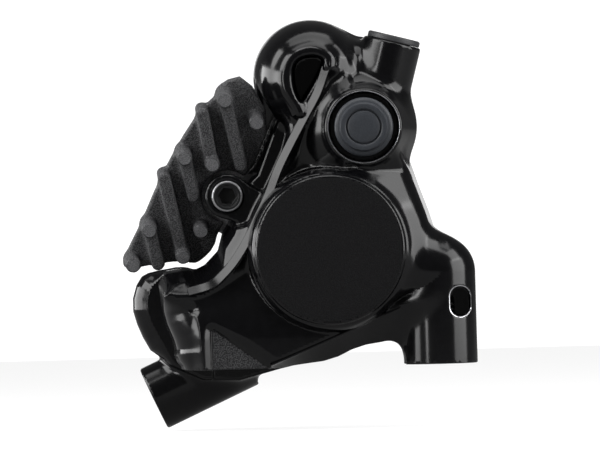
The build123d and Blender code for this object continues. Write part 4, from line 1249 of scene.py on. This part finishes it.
@dataclass
class PadSpring:
    """Bent leaf between the pads, with two legs and spread feet."""

    thickness: float = 0.4
    outer: float = 3.15
    top: float = 22.4
    length: float = 9.6
    bend: float = 0.9
    half_width: float = 3.5
    finger_half: float = 7.0
    finger_width: float = 2.4
    hole: float = 2.2

    def shape(self, p: Cloud) -> np.ndarray:
        """The leaf in its own frame: x is the reach, y across the rotor and z across the pad.

        Args:
            p: the points.

        Returns:
            The distance to the shape.
        """
        middle = self.outer - self.thickness / 2
        top, foot = self.top - self.thickness / 2, self.top - self.length
        bend = self.bend
        path = [(foot, middle), (top - bend, middle)]
        path += [(top - bend + bend * math.sin(a), middle - bend + bend * math.cos(a))
                 for a in (math.pi / 8, math.pi / 4, 3 * math.pi / 8, math.pi / 2)]
        path += [(x, -y) for x, y in reversed(path)]
        points = [(x, y, 0.0) for x, y in path]
        sheet = rope(Cloud(p.x, p.y, 0.0), points, (self.thickness / 2,) * len(points))
        flat = np.maximum(np.abs(p.z) - self.half_width, p.x * 0)
        fingers = rounded_both(between(p.x, foot, foot + self.finger_width),
                               np.abs(p.z) - self.finger_half, 0.8)
        plan = np.minimum(rounded_both(flat, foot - p.x, 0.5), fingers)
        reach = math.dist(PLACES.piston, PLACES.axle)
        opening = self.hole - np.hypot(p.x - reach, p.z)
        return rounded_both(np.maximum(plan, opening), sheet, 0.12)

    def build(self) -> bpy.types.Object:
        """Makes the leaf, sets it in place and gives it a mesh of its own.

        Returns:
            The new object.
        """
        low = (self.top - self.length - 0.3, -self.outer - 0.1, -self.finger_half - 0.2)
        high = (self.top + 0.1, self.outer + 0.1, self.finger_half + 0.2)
        made = surface("Pad_spring", self.shape, low, high, 0.15)
        ox, oz = PLACES.outward
        origin = Vector((PLACES.piston[0], PLACES.rotor_y, PLACES.piston[1]))
        set_in_place(made, ((ox, 0, oz), (0, 1, 0), (oz, 0, -ox)), origin)
        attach(made, "caliper")
        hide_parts("pad_spring")
        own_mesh(made)
        return made


# Threads, crests and peg faces

@dataclass
class NodeShape:
    """A geometry node tree being built, with its named inputs."""

    name: str

    def __post_init__(self) -> None:
        """Starts an empty tree with a geometry input and output."""
        self.tree = bpy.data.node_groups.new(self.name, "GeometryNodeTree")
        self.tree.interface.new_socket("Geometry", in_out="INPUT", socket_type="NodeSocketGeometry")
        self.tree.interface.new_socket("Geometry", in_out="OUTPUT", socket_type="NodeSocketGeometry")
        self.start = self.tree.nodes.new("NodeGroupInput")
        self.values: dict[str, float] = {}

    def size(self, name: str, value: float) -> bpy.types.NodeSocket:
        """Adds a named size to the tree.

        Args:
            name: the input's name.
            value: its value, in metres or as a count.

        Returns:
            The socket that gives the size inside the tree.
        """
        kind = "NodeSocketInt" if isinstance(value, int) else "NodeSocketFloat"
        self.tree.interface.new_socket(name, in_out="INPUT", socket_type=kind)
        self.values[name] = value
        return self.start.outputs[name]

    def node(self, kind: str, **inputs: object) -> bpy.types.Node:
        """Adds a node, with its inputs linked to sockets or set to values.

        Args:
            kind: the node's type.
            inputs: a socket or a value for each input, with low lines for the spaces in its name.

        Returns:
            The new node.
        """
        made = self.tree.nodes.new(kind)
        for name, value in inputs.items():
            socket = made.inputs[name.replace("_", " ")]
            if isinstance(value, bpy.types.NodeSocket):
                self.tree.links.new(value, socket)
            else:
                socket.default_value = value
        return made

    def result(self, name: str, last: bpy.types.NodeSocket, points: Sequence[Point],
               material: bpy.types.Material) -> bpy.types.Object:
        """Ends the tree and turns what it makes into a plain mesh.

        Args:
            name: the new object's name.
            last: the socket with the finished geometry.
            points: vertices that the tree starts from, in millimetres.
            material: what the geometry is given.

        Returns:
            The new object.
        """
        plain = self.node("GeometryNodeRealizeInstances", Geometry=last)
        dressed = self.node("GeometryNodeSetMaterial", Geometry=plain.outputs[0], Material=material)
        end = self.tree.nodes.new("NodeGroupOutput")
        self.tree.links.new(dressed.outputs[0], end.inputs[0])
        carrier = bpy.data.meshes.new(name)
        carrier.from_pydata([Vector(point) * MM for point in points], [], [])
        made = placed(name, carrier)
        modifier = made.modifiers.new(self.name, "NODES")
        modifier.node_group = self.tree
        for item in self.tree.interface.items_tree:
            if item.in_out == "INPUT" and item.name in self.values:
                modifier[item.identifier] = self.values[item.name]
        shown = made.evaluated_get(bpy.context.evaluated_depsgraph_get())
        mesh = bpy.data.meshes.new_from_object(shown)
        made.modifiers.clear()
        made.data = mesh
        return made


def frame_along(start: Sequence[float], axis: Sequence[float]) -> Matrix:
    """Matrix that puts a piece made along z at a start, in millimetres, with its z along an axis.

    Args:
        start: the place of its own origin.
        axis: the way that its own z points.

    Returns:
        The matrix, in metres.
    """
    turn = Vector(axis).to_track_quat("Z", "Y").to_matrix().to_4x4()
    turn.translation = Vector(start) * MM
    return turn


@dataclass
class Thread:
    """Screw thread on the wall of a hole."""

    name: str
    start: Point
    axis: Point
    radius: float
    length: float
    pitch: float = 0.8
    depth: float = 0.28

    def build(self, material: bpy.types.Material) -> bpy.types.Object:
        """Winds the thread's ridge down the hole.

        Args:
            material: the thread's finish.

        Returns:
            The new object.
        """
        shape = NodeShape(f"{self.name}_nodes")
        radius = shape.size("Radius", self.radius * MM)
        length = shape.size("Length", self.length * MM)
        turns = shape.size("Turns", self.length / self.pitch)
        ridge = shape.size("Ridge radius", self.depth * MM)
        helix = shape.node("GeometryNodeCurveSpiral", Resolution=40, Rotations=turns, Start_Radius=radius,
                           End_Radius=radius, Height=length)
        profile = shape.node("GeometryNodeCurvePrimitiveCircle", Resolution=4, Radius=ridge)
        wound = shape.node("GeometryNodeCurveToMesh", Curve=helix.outputs[0],
                           Profile_Curve=profile.outputs[0], Fill_Caps=True)
        made = shape.result(self.name, wound.outputs[0], ((0, 0, 0),), material)
        made.data.transform(frame_along(self.start, self.axis))
        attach(made, "caliper")
        return made


@dataclass
class RibCrest:
    """Narrow bevelled crests on the outboard half: its long rib, its window's rim and its lower edge."""

    half: OutboardHalf
    bevel: float = 1.3
    ring_bevel: float = 1.3
    lower_bevel: float = 0.2
    fall: float = 0.65
    top: float = 0.16
    back: float = 0.34
    proud: float = 0.45
    ring_proud: float = 0.3
    lower_proud: float = 0.06

    def strip(self, built: bmesh.types.BMesh, line: Sequence[Point], bevel: float, back: float) -> None:
        """Adds one strip: a bevel on the outer side, a narrow top and a steep inner side.

        Args:
            built: the mesh that the strip goes into.
            line: points of the crest, with the outer side on the left of its run.
            bevel: width of its outer side.
            back: width of its inner side.
        """
        steps = np.gradient(np.array(line), axis=0)
        rows = []
        for (x, y, z), (dx, _, dz) in zip(line, steps):
            long = math.hypot(dx, dz)
            out = (-dz / long, dx / long)
            half = self.top / 2
            deep = bevel * self.fall
            profile = ((bevel + 0.1, deep + 0.8), (bevel, deep), (half, 0.0), (-half, 0.0), (-back, 1.4))
            spots = [(x + out[0] * aside, y + down, z + out[1] * aside) for aside, down in profile]
            rows.append([built.verts.new(Vector(spot) * MM) for spot in spots])
        for low, high in zip(rows, rows[1:]):
            for i in range(len(low)):
                j = (i + 1) % len(low)
                built.faces.new((low[i], low[j], high[j], high[i]))
        built.faces.new(rows[0])
        built.faces.new(rows[-1])

    def build(self, material: bpy.types.Material) -> bpy.types.Object:
        """Lays the strips on the rib, on the ring and on the lower crest.

        Args:
            material: the crests' finish.

        Returns:
            The new object.
        """
        half = self.half
        built = bmesh.new()
        rib = curve(half.rib[1:], 8)
        x, y, z = (np.array(column) for column in zip(*rib))
        level = np.minimum(half.plain_front(Cloud(x, y, z)) - self.proud, y)
        self.strip(built, list(zip(x, level, z)), self.bevel, self.back)
        ring = [(x, y - self.ring_proud, z) for x, y, z in curve(half.ring, 8)]
        self.strip(built, ring, self.ring_bevel, self.back)
        x, z = (np.array(column) for column in zip(*curve(half.lower_crest, 8)))
        level = half.plain_front(Cloud(x, 0.0 * x, z)) - self.lower_proud
        self.strip(built, list(zip(x, level, z)), self.lower_bevel, self.lower_bevel)
        bmesh.ops.recalc_face_normals(built, faces=built.faces)
        made = finished_mesh("Rib_crest", built, 25.0)
        dress(made, material)
        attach(made, "caliper")
        return made


@dataclass
class PegFaces:
    """Thin faces on the ends of the pegs on one pad's fins, a lighter grey than the casting."""

    fins: CoolingFins
    radius: float = 1.0
    lift: float = 0.03

    def build(self, material: bpy.types.Material) -> bpy.types.Object:
        """Places one thin face on each peg.

        Args:
            material: the faces' finish.

        Returns:
            The new object.
        """
        fins = self.fins
        shape = NodeShape(f"Peg_faces_{fins.side.name.lower()}_nodes")
        radius = shape.size("Face radius", self.radius * MM)
        depth = shape.size("Face depth", 2 * self.lift * MM)
        sides = shape.size("Sides", 24)
        face = shape.node("GeometryNodeMeshCylinder", Vertices=sides, Radius=radius, Depth=depth)
        faces = shape.node("GeometryNodeInstanceOnPoints", Points=shape.start.outputs[0],
                           Instance=face.outputs[0])
        height = fins.plate + fins.peg_height
        points = [(*fins.on_plane(peg), height) for peg in fins.pegs]
        name = f"{fins.side.name.capitalize()}_peg_faces"
        made = shape.result(name, faces.outputs[0], points, material)
        origin, width, rise, outward = fins.axes()
        set_in_place(made, (width, rise, outward), origin)
        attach(made, f"{fins.side.name.lower()}_pad")
        return made


# Finishes

Colour = tuple[float, float, float]
Value = object


@dataclass
class Graph:
    """Adds and links the nodes of one shader tree."""

    tree: bpy.types.NodeTree

    def node(self, kind: str, **settings: object) -> bpy.types.Node:
        """A new node with some of its settings set.

        Args:
            kind: the node's type.
            settings: its settings by name.

        Returns:
            The new node.
        """
        made = self.tree.nodes.new(kind)
        for name, value in settings.items():
            setattr(made, name, value)
        return made

    def put(self, socket: bpy.types.NodeSocket, value: Value) -> None:
        """Links a socket to another one, or sets its value.

        Args:
            socket: the socket that takes it.
            value: a socket to link, a colour or a number.
        """
        if isinstance(value, bpy.types.NodeSocket):
            self.tree.links.new(value, socket)
        elif isinstance(value, tuple) and len(value) == 3 and socket.type == "RGBA":
            socket.default_value = (*value, 1.0)
        else:
            socket.default_value = value

    def maths(self, operation: str, *values: Value) -> bpy.types.NodeSocket:
        """Result of a sum on one to three values.

        Args:
            operation: the sum.
            values: the values, in the order of its inputs.

        Returns:
            The socket with the result.
        """
        made = self.node("ShaderNodeMath", operation=operation)
        for socket, value in zip(made.inputs, values):
            self.put(socket, value)
        return made.outputs[0]

    def step(self, value: Value, start: float, end: float, first: float = 0.0,
             last: float = 1.0) -> bpy.types.NodeSocket:
        """Soft step of a value, from first at start to last at end.

        Args:
            value: what is read.
            start: where the step begins.
            end: where it ends.
            first: the result up to start.
            last: the result from end on.

        Returns:
            The socket with the result.
        """
        made = self.node("ShaderNodeMapRange", interpolation_type="SMOOTHSTEP")
        for socket, given in zip(made.inputs, (value, start, end, first, last)):
            self.put(socket, given)
        return made.outputs[0]

    def blend(self, share: Value, first: Value, second: Value) -> bpy.types.NodeSocket:
        """Colour between two, by a share.

        Args:
            share: 0 for the first and 1 for the second.
            first: the first colour.
            second: the second colour.

        Returns:
            The socket with the colour.
        """
        made = self.node("ShaderNodeMix", data_type="RGBA")
        self.put(made.inputs[0], share)
        self.put(made.inputs[6], first)
        self.put(made.inputs[7], second)
        return made.outputs[2]

    def group(self, tree: bpy.types.NodeTree, **inputs: Value) -> bpy.types.Node:
        """A shared group placed in this tree with its own values.

        Args:
            tree: the shared group.
            inputs: its values by name.

        Returns:
            The node that holds the group.
        """
        made = self.node("ShaderNodeGroup", node_tree=tree)
        for name, value in inputs.items():
            self.put(made.inputs[name], value)
        return made


def shared(name: str, inputs: Sequence[str], outputs: Sequence[str],
           fill: Callable[[Graph, bpy.types.Node], Sequence[bpy.types.NodeSocket]]) -> bpy.types.NodeTree:
    """Shader node group that is built once and used by several finishes.

    Args:
        name: the group's name.
        inputs: names of its inputs.
        outputs: names of its outputs.
        fill: adds the nodes, and gives the sockets that feed the outputs.

    Returns:
        The group.
    """
    found = bpy.data.node_groups.get(name)
    if found:
        return found
    tree = bpy.data.node_groups.new(name, "ShaderNodeTree")
    for given in inputs:
        tree.interface.new_socket(given, in_out="INPUT", socket_type="NodeSocketFloat")
    for given in outputs:
        tree.interface.new_socket(given, in_out="OUTPUT", socket_type="NodeSocketFloat")
    start = tree.nodes.new("NodeGroupInput")
    end = tree.nodes.new("NodeGroupOutput")
    for socket, made in zip(end.inputs, fill(Graph(tree), start)):
        tree.links.new(made, socket)
    return tree


def grain() -> bpy.types.NodeTree:
    """Fine cast grain: a height and a mask from two sizes of noise.

    Returns:
        The group, made once.
    """
    def fill(graph: Graph, start: bpy.types.Node) -> Sequence[bpy.types.NodeSocket]:
        """Adds the noises.

        Args:
            graph: the group's tree.
            start: the node with the group's inputs.

        Returns:
            The sockets with the height and the mask.
        """
        spot = graph.node("ShaderNodeTexCoord").outputs["Object"]
        fine = graph.node("ShaderNodeTexNoise", noise_dimensions="3D")
        broad = graph.node("ShaderNodeTexNoise", noise_dimensions="3D")
        for noise, scale in ((fine, start.outputs["Scale"]),
                             (broad, graph.maths("MULTIPLY", start.outputs["Scale"], 0.13))):
            graph.put(noise.inputs["Vector"], spot)
            graph.put(noise.inputs["Scale"], scale)
            graph.put(noise.inputs["Detail"], 3.0)
            graph.put(noise.inputs["Roughness"], 0.6)
        both = graph.maths("MULTIPLY_ADD", broad.outputs[0], 0.35, fine.outputs[0])
        return both, graph.step(fine.outputs[0], 0.42, 0.62)
    return shared("Cast_grain", ["Scale"], ["Height", "Mask"], fill)


def round_zone() -> bpy.types.NodeTree:
    """Mask of a round zone in the side view, in front of a level y.

    Returns:
        The group, made once.
    """
    def fill(graph: Graph, start: bpy.types.Node) -> Sequence[bpy.types.NodeSocket]:
        """Adds the distances.

        Args:
            graph: the group's tree.
            start: the node with the group's inputs.

        Returns:
            The socket with the mask.
        """
        split = graph.node("ShaderNodeSeparateXYZ")
        graph.put(split.inputs[0], graph.node("ShaderNodeTexCoord").outputs["Object"])
        given = start.outputs
        across = graph.maths("SUBTRACT", split.outputs[0], graph.maths("MULTIPLY", given["X"], MM))
        rise = graph.maths("SUBTRACT", split.outputs[2], graph.maths("MULTIPLY", given["Z"], MM))
        tall = graph.maths("MAXIMUM", graph.maths("SUBTRACT", graph.maths("ABSOLUTE", rise),
                                                  graph.maths("MULTIPLY", given["Straight"], MM)), 0.0)
        far = graph.maths("DIVIDE", graph.maths("SQRT", graph.maths(
            "ADD", graph.maths("MULTIPLY", across, across), graph.maths("MULTIPLY", tall, tall))), MM)
        out = graph.maths("SUBTRACT", given["Outer"], far)
        into = graph.maths("SUBTRACT", far, given["Inner"])
        ring = graph.maths("MINIMUM", graph.step(out, -0.04, 0.06), graph.step(into, -0.04, 0.06))
        y = graph.maths("DIVIDE", split.outputs[1], MM)
        front = graph.step(graph.maths("SUBTRACT", given["Level"], y), -0.05, 0.05)
        return (graph.maths("MULTIPLY", ring, front),)
    return shared("Round_zone", ["X", "Z", "Straight", "Inner", "Outer", "Level"], ["Mask"], fill)


@dataclass(frozen=True)
class Finish:
    """A finish with a fine grain in its colour, its gloss and its surface."""

    name: str
    dark: Colour
    light: Colour
    rough_low: float
    rough_high: float
    grain_mm: float
    relief: float
    metallic: float = 0.0
    ior: float = 1.5

    def start(self) -> tuple[bpy.types.Material, Graph, bpy.types.Node, bpy.types.Node]:
        """New material with its shader and its grain.

        Returns:
            The material, its tree, its shader and its grain.
        """
        material = bpy.data.materials.new(self.name)
        material.use_nodes = True
        graph = Graph(material.node_tree)
        shader = material.node_tree.nodes["Principled BSDF"]
        grained = graph.group(grain(), Scale=1.0 / (self.grain_mm * MM))
        graph.put(shader.inputs["Metallic"], self.metallic)
        graph.put(shader.inputs["IOR"], self.ior)
        material.diffuse_color = (*self.light, 1.0)
        return material, graph, shader, grained

    def material(self) -> bpy.types.Material:
        """The finished material.

        Returns:
            The material.
        """
        material, graph, shader, grained = self.start()
        mask = grained.outputs["Mask"]
        graph.put(shader.inputs["Base Color"], graph.blend(mask, self.dark, self.light))
        graph.put(shader.inputs["Roughness"], graph.step(mask, 0.0, 1.0, self.rough_high, self.rough_low))
        bump = graph.node("ShaderNodeBump")
        graph.put(bump.inputs["Height"], grained.outputs["Height"])
        graph.put(bump.inputs["Distance"], self.relief * MM)
        graph.put(bump.inputs["Strength"], 1.0)
        graph.put(shader.inputs["Normal"], bump.outputs[0])
        return material


@dataclass(frozen=True)
class CastPaint(Finish):
    """Gloss black paint on a casting, bare on its machined edges."""

    bare: Colour = (0.62, 0.62, 0.64)
    bare_rough: float = 0.28
    bleed_inner: float = 5.78
    bleed_outer: float = 6.05
    slot_inner: float = 1.62
    slot_outer: float = 1.84

    def material(self) -> bpy.types.Material:
        """The paint with its bare rims.

        Returns:
            The material.
        """
        material, graph, shader, peel = self.start()
        zone = round_zone()
        rim = graph.group(zone, X=PLACES.bleed[0], Z=PLACES.bleed[1], Straight=0.0,
                          Inner=self.bleed_inner, Outer=self.bleed_outer, Level=-5.7)
        slot = OutboardHalf.slot
        oval = graph.group(zone, X=slot[0], Z=slot[1], Straight=OutboardHalf.slot_straight,
                           Inner=self.slot_inner, Outer=self.slot_outer, Level=-3.0)
        bare = graph.maths("MAXIMUM", rim.outputs[0], oval.outputs[0])
        colour = graph.blend(peel.outputs["Mask"], self.dark, self.light)
        graph.put(shader.inputs["Base Color"], graph.blend(bare, colour, self.bare))
        graph.put(shader.inputs["Roughness"], graph.step(bare, 0.0, 1.0, self.rough_low, self.bare_rough))
        graph.put(shader.inputs["Metallic"], bare)
        bump = graph.node("ShaderNodeBump")
        graph.put(bump.inputs["Height"], peel.outputs["Height"])
        graph.put(bump.inputs["Distance"], self.relief * MM)
        graph.put(shader.inputs["Normal"], bump.outputs[0])
        return material


@dataclass(frozen=True)
class AxleSteel(Finish):
    """Black oxide on the pad axle, worn bare on the rim of its head."""

    bare: Colour = (0.34, 0.34, 0.35)
    rim_inner: float = 2.26
    rim_outer: float = 2.7

    def material(self) -> bpy.types.Material:
        """The oxide with its bare rim.

        Returns:
            The material.
        """
        material, graph, shader, grained = self.start()
        rim = graph.group(round_zone(), X=PLACES.axle[0], Z=PLACES.axle[1], Straight=0.0,
                          Inner=self.rim_inner, Outer=self.rim_outer, Level=1.6)
        worn = graph.step(grained.outputs["Mask"], 0.0, 1.0, 0.7, 1.0)
        mask = graph.maths("MULTIPLY", rim.outputs[0], worn)
        graph.put(shader.inputs["Base Color"], graph.blend(mask, self.dark, self.bare))
        graph.put(shader.inputs["Metallic"], mask)
        graph.put(shader.inputs["Roughness"], graph.step(mask, 0.0, 1.0, self.rough_high, self.rough_low))
        return material


class Finishes:
    """Every finish on the caliper, made once."""

    def __init__(self) -> None:
        """Makes the materials."""
        self.paint = CastPaint("Gloss_black_paint", (0.0015, 0.0015, 0.0018), (0.0022, 0.0022, 0.0026),
                               0.16, 0.16, 1.4, 0.003, ior=1.36).material()
        self.matte = Finish("Matte_black_disc", (0.002, 0.002, 0.0023), (0.0062, 0.0062, 0.0066), 0.6, 0.75,
                            0.16, 0.03, ior=1.2).material()
        self.grit = Finish("Blasted_pocket", (0.004, 0.004, 0.0045), (0.05, 0.05, 0.052), 0.5, 0.7,
                           0.22, 0.05, ior=1.3).material()
        self.fin = Finish("Cast_fin_grey", (0.018, 0.018, 0.019), (0.092, 0.092, 0.095), 0.48, 0.66,
                          0.17, 0.06, ior=1.25).material()
        self.peg = Finish("Peg_face_grey", (0.06, 0.06, 0.063), (0.16, 0.16, 0.165), 0.45, 0.6,
                          0.12, 0.02, ior=1.3).material()
        self.rubber = Finish("Cap_rubber", (0.018, 0.020, 0.024), (0.028, 0.031, 0.036), 0.34, 0.46,
                             0.12, 0.004, ior=1.35).material()
        self.plastic = Finish("Cap_plastic", (0.020, 0.021, 0.022), (0.032, 0.032, 0.034), 0.38, 0.5,
                              0.1, 0.006, ior=1.35).material()
        self.dark_steel = AxleSteel("Black_axle_steel", (0.004, 0.004, 0.0045), (0.008, 0.008, 0.0085),
                                    0.3, 0.45, 0.2, 0.004, ior=1.3).material()
        self.steel = Finish("Plain_steel", (0.42, 0.42, 0.43), (0.52, 0.52, 0.53), 0.26, 0.4,
                            0.25, 0.005, metallic=1.0).material()
        self.spring = Finish("Spring_steel", (0.50, 0.49, 0.47), (0.60, 0.59, 0.57), 0.2, 0.32,
                             0.3, 0.003, metallic=1.0).material()
        self.backing = Finish("Backing_steel", (0.16, 0.16, 0.165), (0.24, 0.24, 0.245), 0.42, 0.6,
                              0.3, 0.01, metallic=0.7).material()
        self.friction = Finish("Friction_compound", (0.06, 0.052, 0.045), (0.17, 0.15, 0.13), 0.75, 0.95,
                               0.35, 0.05).material()
        self.ceramic = Finish("Piston_ceramic", (0.55, 0.54, 0.51), (0.64, 0.63, 0.60), 0.22, 0.32,
                              0.3, 0.003).material()
        self.seal = Finish("Seal_rubber", (0.014, 0.014, 0.015), (0.022, 0.022, 0.023), 0.4, 0.55,
                           0.2, 0.004).material()


def dress(piece: bpy.types.Object, material: bpy.types.Material) -> None:
    """Gives a piece one material."""
    piece.data.materials.clear()
    piece.data.materials.append(material)


def dress_nodes(finishes: Finishes) -> None:
    """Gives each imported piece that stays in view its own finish.

    Args:
        finishes: the finishes to choose from.
    """
    kept = {
        "body_bolts": finishes.steel, "transfer_oring": finishes.seal, "outboard_piston": finishes.ceramic,
        "inboard_piston": finishes.ceramic, "outboard_piston_seal": finishes.seal,
        "inboard_piston_seal": finishes.seal, "outboard_pad_backing": finishes.backing,
        "inboard_pad_backing": finishes.backing, "outboard_pad_friction": finishes.friction,
        "inboard_pad_friction": finishes.friction, "outboard_pad_rivets": finishes.steel,
        "inboard_pad_rivets": finishes.steel, "axle_snap_ring": finishes.spring,
        "bleed_nipple": finishes.steel, "bleed_valve_screw": finishes.steel,
        "bleed_valve_oring": finishes.seal,
    }
    for name, material in kept.items():
        dress(frame["nodes"][name], material)
        LOG.info("%s keeps its solid", name)


# Studio

@dataclass(frozen=True)
class Softbox:
    """Rectangular lamp that faces the caliper."""

    name: str
    place: Point
    width: float
    height: float
    level: float

    def build(self, target: Vector) -> None:
        """Adds the lamp; its level is the brightness of its face, 1 being white.

        Args:
            target: the point that it faces, in metres.
        """
        lamp = bpy.data.lights.new(self.name, "AREA")
        lamp.shape = "RECTANGLE"
        lamp.size, lamp.size_y = self.width * MM, self.height * MM
        lamp.energy = self.level * math.pi * lamp.size * lamp.size_y
        made = placed(self.name, lamp)
        made.location = Vector(self.place) * MM
        made.rotation_euler = (target - made.location).to_track_quat("-Z", "Y").to_euler()
        made.visible_camera = False


@dataclass
class Studio:
    """Pale floor and backdrop, soft lamps and the photograph's camera."""

    target: Point = (-5.85, 0.0, 23.71)
    azimuth: float = 0.0
    elevation: float = 0.4
    roll: float = 1.6
    distance: float = 3000.0
    frame_width: float = 100.0
    floor_z: float = -10.4
    world_level: float = 0.1
    front_edge: float = -420.0
    mirrored: float = 0.2
    floor_glow: float = 0.88
    low_edge: float = -60.0
    high_edge: float = 260.0
    floor_half: float = 1000.0
    backdrop_half: float = 260.0
    back_edge: float = 900.0
    boxes: tuple[Softbox, ...] = (
        Softbox("Left_panel", (-447.0, 55.0, 66.0), 540.0, 170.0, 7.5),
        Softbox("Upper_left_panel", (-378.0, -153.0, 278.0), 340.0, 260.0, 7.5),
        Softbox("Right_panel", (425.0, -175.0, 130.0), 380.0, 320.0, 6.0),
        Softbox("Upper_right_panel", (331.0, -134.0, 345.0), 260.0, 240.0, 5.5),
        Softbox("Key_strip", (-328.0, -377.0, 60.0), 55.0, 240.0, 12.0),
        Softbox("Top_box", (-60.0, -260.0, 440.0), 320.0, 110.0, 7.0),
        Softbox("Ceiling", (0.0, -20.0, 640.0), 700.0, 420.0, 2.6),
    )

    def build(self) -> None:
        """Makes the whole studio."""
        world = bpy.data.worlds.new("Dim_room")
        bpy.context.scene.world = world
        world.use_nodes = True
        back = world.node_tree.nodes["Background"]
        back.inputs[0].default_value = (self.world_level,) * 3 + (1.0,)
        for box in self.boxes:
            box.build(Vector(self.target) * MM)
        self.ground()
        self.camera()
        bpy.context.scene.view_settings.view_transform = "Standard"

    def pale(self, name: str, glow: float, cover: float, mirror: float) -> bpy.types.Material:
        """White card that glows for the camera and in reflections, and keeps some shadow.

        Args:
            name: the material's name.
            glow: brightness that the camera and reflections see.
            cover: colour of the card for the lamps.
            mirror: share of the glow that gloss reflects.

        Returns:
            The material.
        """
        material = bpy.data.materials.new(name)
        material.use_nodes = True
        graph = Graph(material.node_tree)
        nodes = material.node_tree.nodes
        nodes.remove(nodes["Principled BSDF"])
        path = graph.node("ShaderNodeLightPath")
        mirrored = graph.maths("MULTIPLY", path.outputs["Is Glossy Ray"], mirror)
        seen = graph.maths("MAXIMUM", path.outputs["Is Camera Ray"], graph.maths(
            "MAXIMUM", mirrored, path.outputs["Is Transmission Ray"]))
        light = graph.node("ShaderNodeEmission")
        graph.put(light.inputs["Strength"], graph.maths("MULTIPLY", seen, glow))
        card = graph.node("ShaderNodeBsdfDiffuse")
        graph.put(card.inputs["Color"], (cover, cover, cover))
        both = graph.node("ShaderNodeAddShader")
        graph.put(both.inputs[0], light.outputs[0])
        graph.put(both.inputs[1], card.outputs[0])
        graph.put(nodes["Material Output"].inputs["Surface"], both.outputs[0])
        return material

    def ground(self) -> None:
        """Adds the floor and the backdrop."""
        front, back, floor = self.front_edge, self.back_edge, self.floor_z
        wide, narrow, low, high = self.floor_half, self.backdrop_half, self.low_edge, self.high_edge
        ground = ((-wide, front, floor), (wide, front, floor), (wide, back, floor), (-wide, back, floor))
        wall = ((-narrow, back, low), (narrow, back, low), (narrow, back, high), (-narrow, back, high))
        for name, corners, glow, cover, mirror in (
            ("Floor", ground, self.floor_glow, 0.15, self.mirrored),
            ("Backdrop", wall, 1.0, 0.30, 1.0),
        ):
            mesh = bpy.data.meshes.new(name)
            mesh.from_pydata([Vector(c) * MM for c in corners], [], [(0, 1, 2, 3)])
            made = placed(name, mesh)
            dress(made, self.pale(f"{name}_card", glow, cover, mirror))

    def camera(self) -> None:
        """Adds the camera at the photograph's angle."""
        a, e, r = (math.radians(v) for v in (self.azimuth, self.elevation, self.roll))
        back = Vector((math.sin(a) * math.cos(e), -math.cos(a) * math.cos(e), math.sin(e)))
        level = Vector((math.cos(a), math.sin(a), 0.0))
        up = back.cross(level)
        right = level * math.cos(r) - up * math.sin(r)
        top = level * math.sin(r) + up * math.cos(r)
        lens = bpy.data.cameras.new("Camera")
        lens.sensor_width = 36.0
        lens.lens = lens.sensor_width * self.distance / self.frame_width
        lens.clip_start, lens.clip_end = 0.01, 20.0
        made = placed("Camera", lens)
        turn = Matrix((right, top, back)).transposed().to_4x4()
        turn.translation = (Vector(self.target) + back * self.distance) * MM
        made.matrix_world = turn
        bpy.context.scene.camera = made


def report(piece: bpy.types.Object) -> None:
    """Logs a piece and its number of faces."""
    LOG.info("%s: %d faces", piece.name, len(piece.data.polygons))


def main() -> None:
    """Builds the caliper piece by piece, then the studio."""
    logging.basicConfig(level=logging.INFO, format="%(message)s")
    finishes = Finishes()
    half = OutboardHalf()
    all_fins = (CoolingFins(Side.OUTBOARD), CoolingFins(Side.INBOARD))
    piece = half.build()
    half.dress(piece, finishes.paint, finishes.matte, finishes.grit)
    report(piece)
    for builder, material in (
        (InboardHalf(), finishes.paint), *((fins, finishes.fin) for fins in all_fins),
        (BleedCap(), finishes.rubber), (ValveCap(), finishes.plastic), (PadAxle(), finishes.dark_steel),
        (PadSpring(), finishes.spring),
    ):
        piece = builder.build()
        dress(piece, material)
        report(piece)
    mouth, axis = PLACES.hose_mouth, PLACES.hose_axis
    start = tuple(m + 0.9 * a for m, a in zip(mouth, axis))
    threads = [Thread("Port_thread", start, axis, radius=3.62, length=7.6, pitch=1.0, depth=0.3)]
    threads += [Thread(f"{end}_foot_thread", (x, 0.0, 0.6), (0.0, 0.0, 1.0), radius=2.12, length=9.8)
                for end, x in (("Front", -PLACES.bolt_x), ("Rear", PLACES.bolt_x))]
    for builder, material in (
        (RibCrest(half), finishes.paint), *((PegFaces(fins), finishes.peg) for fins in all_fins),
        *((thread, finishes.steel) for thread in threads),
    ):
        report(builder.build(material))
    dress_nodes(finishes)
    Studio().build()


if __name__ == "__main__":
    main()
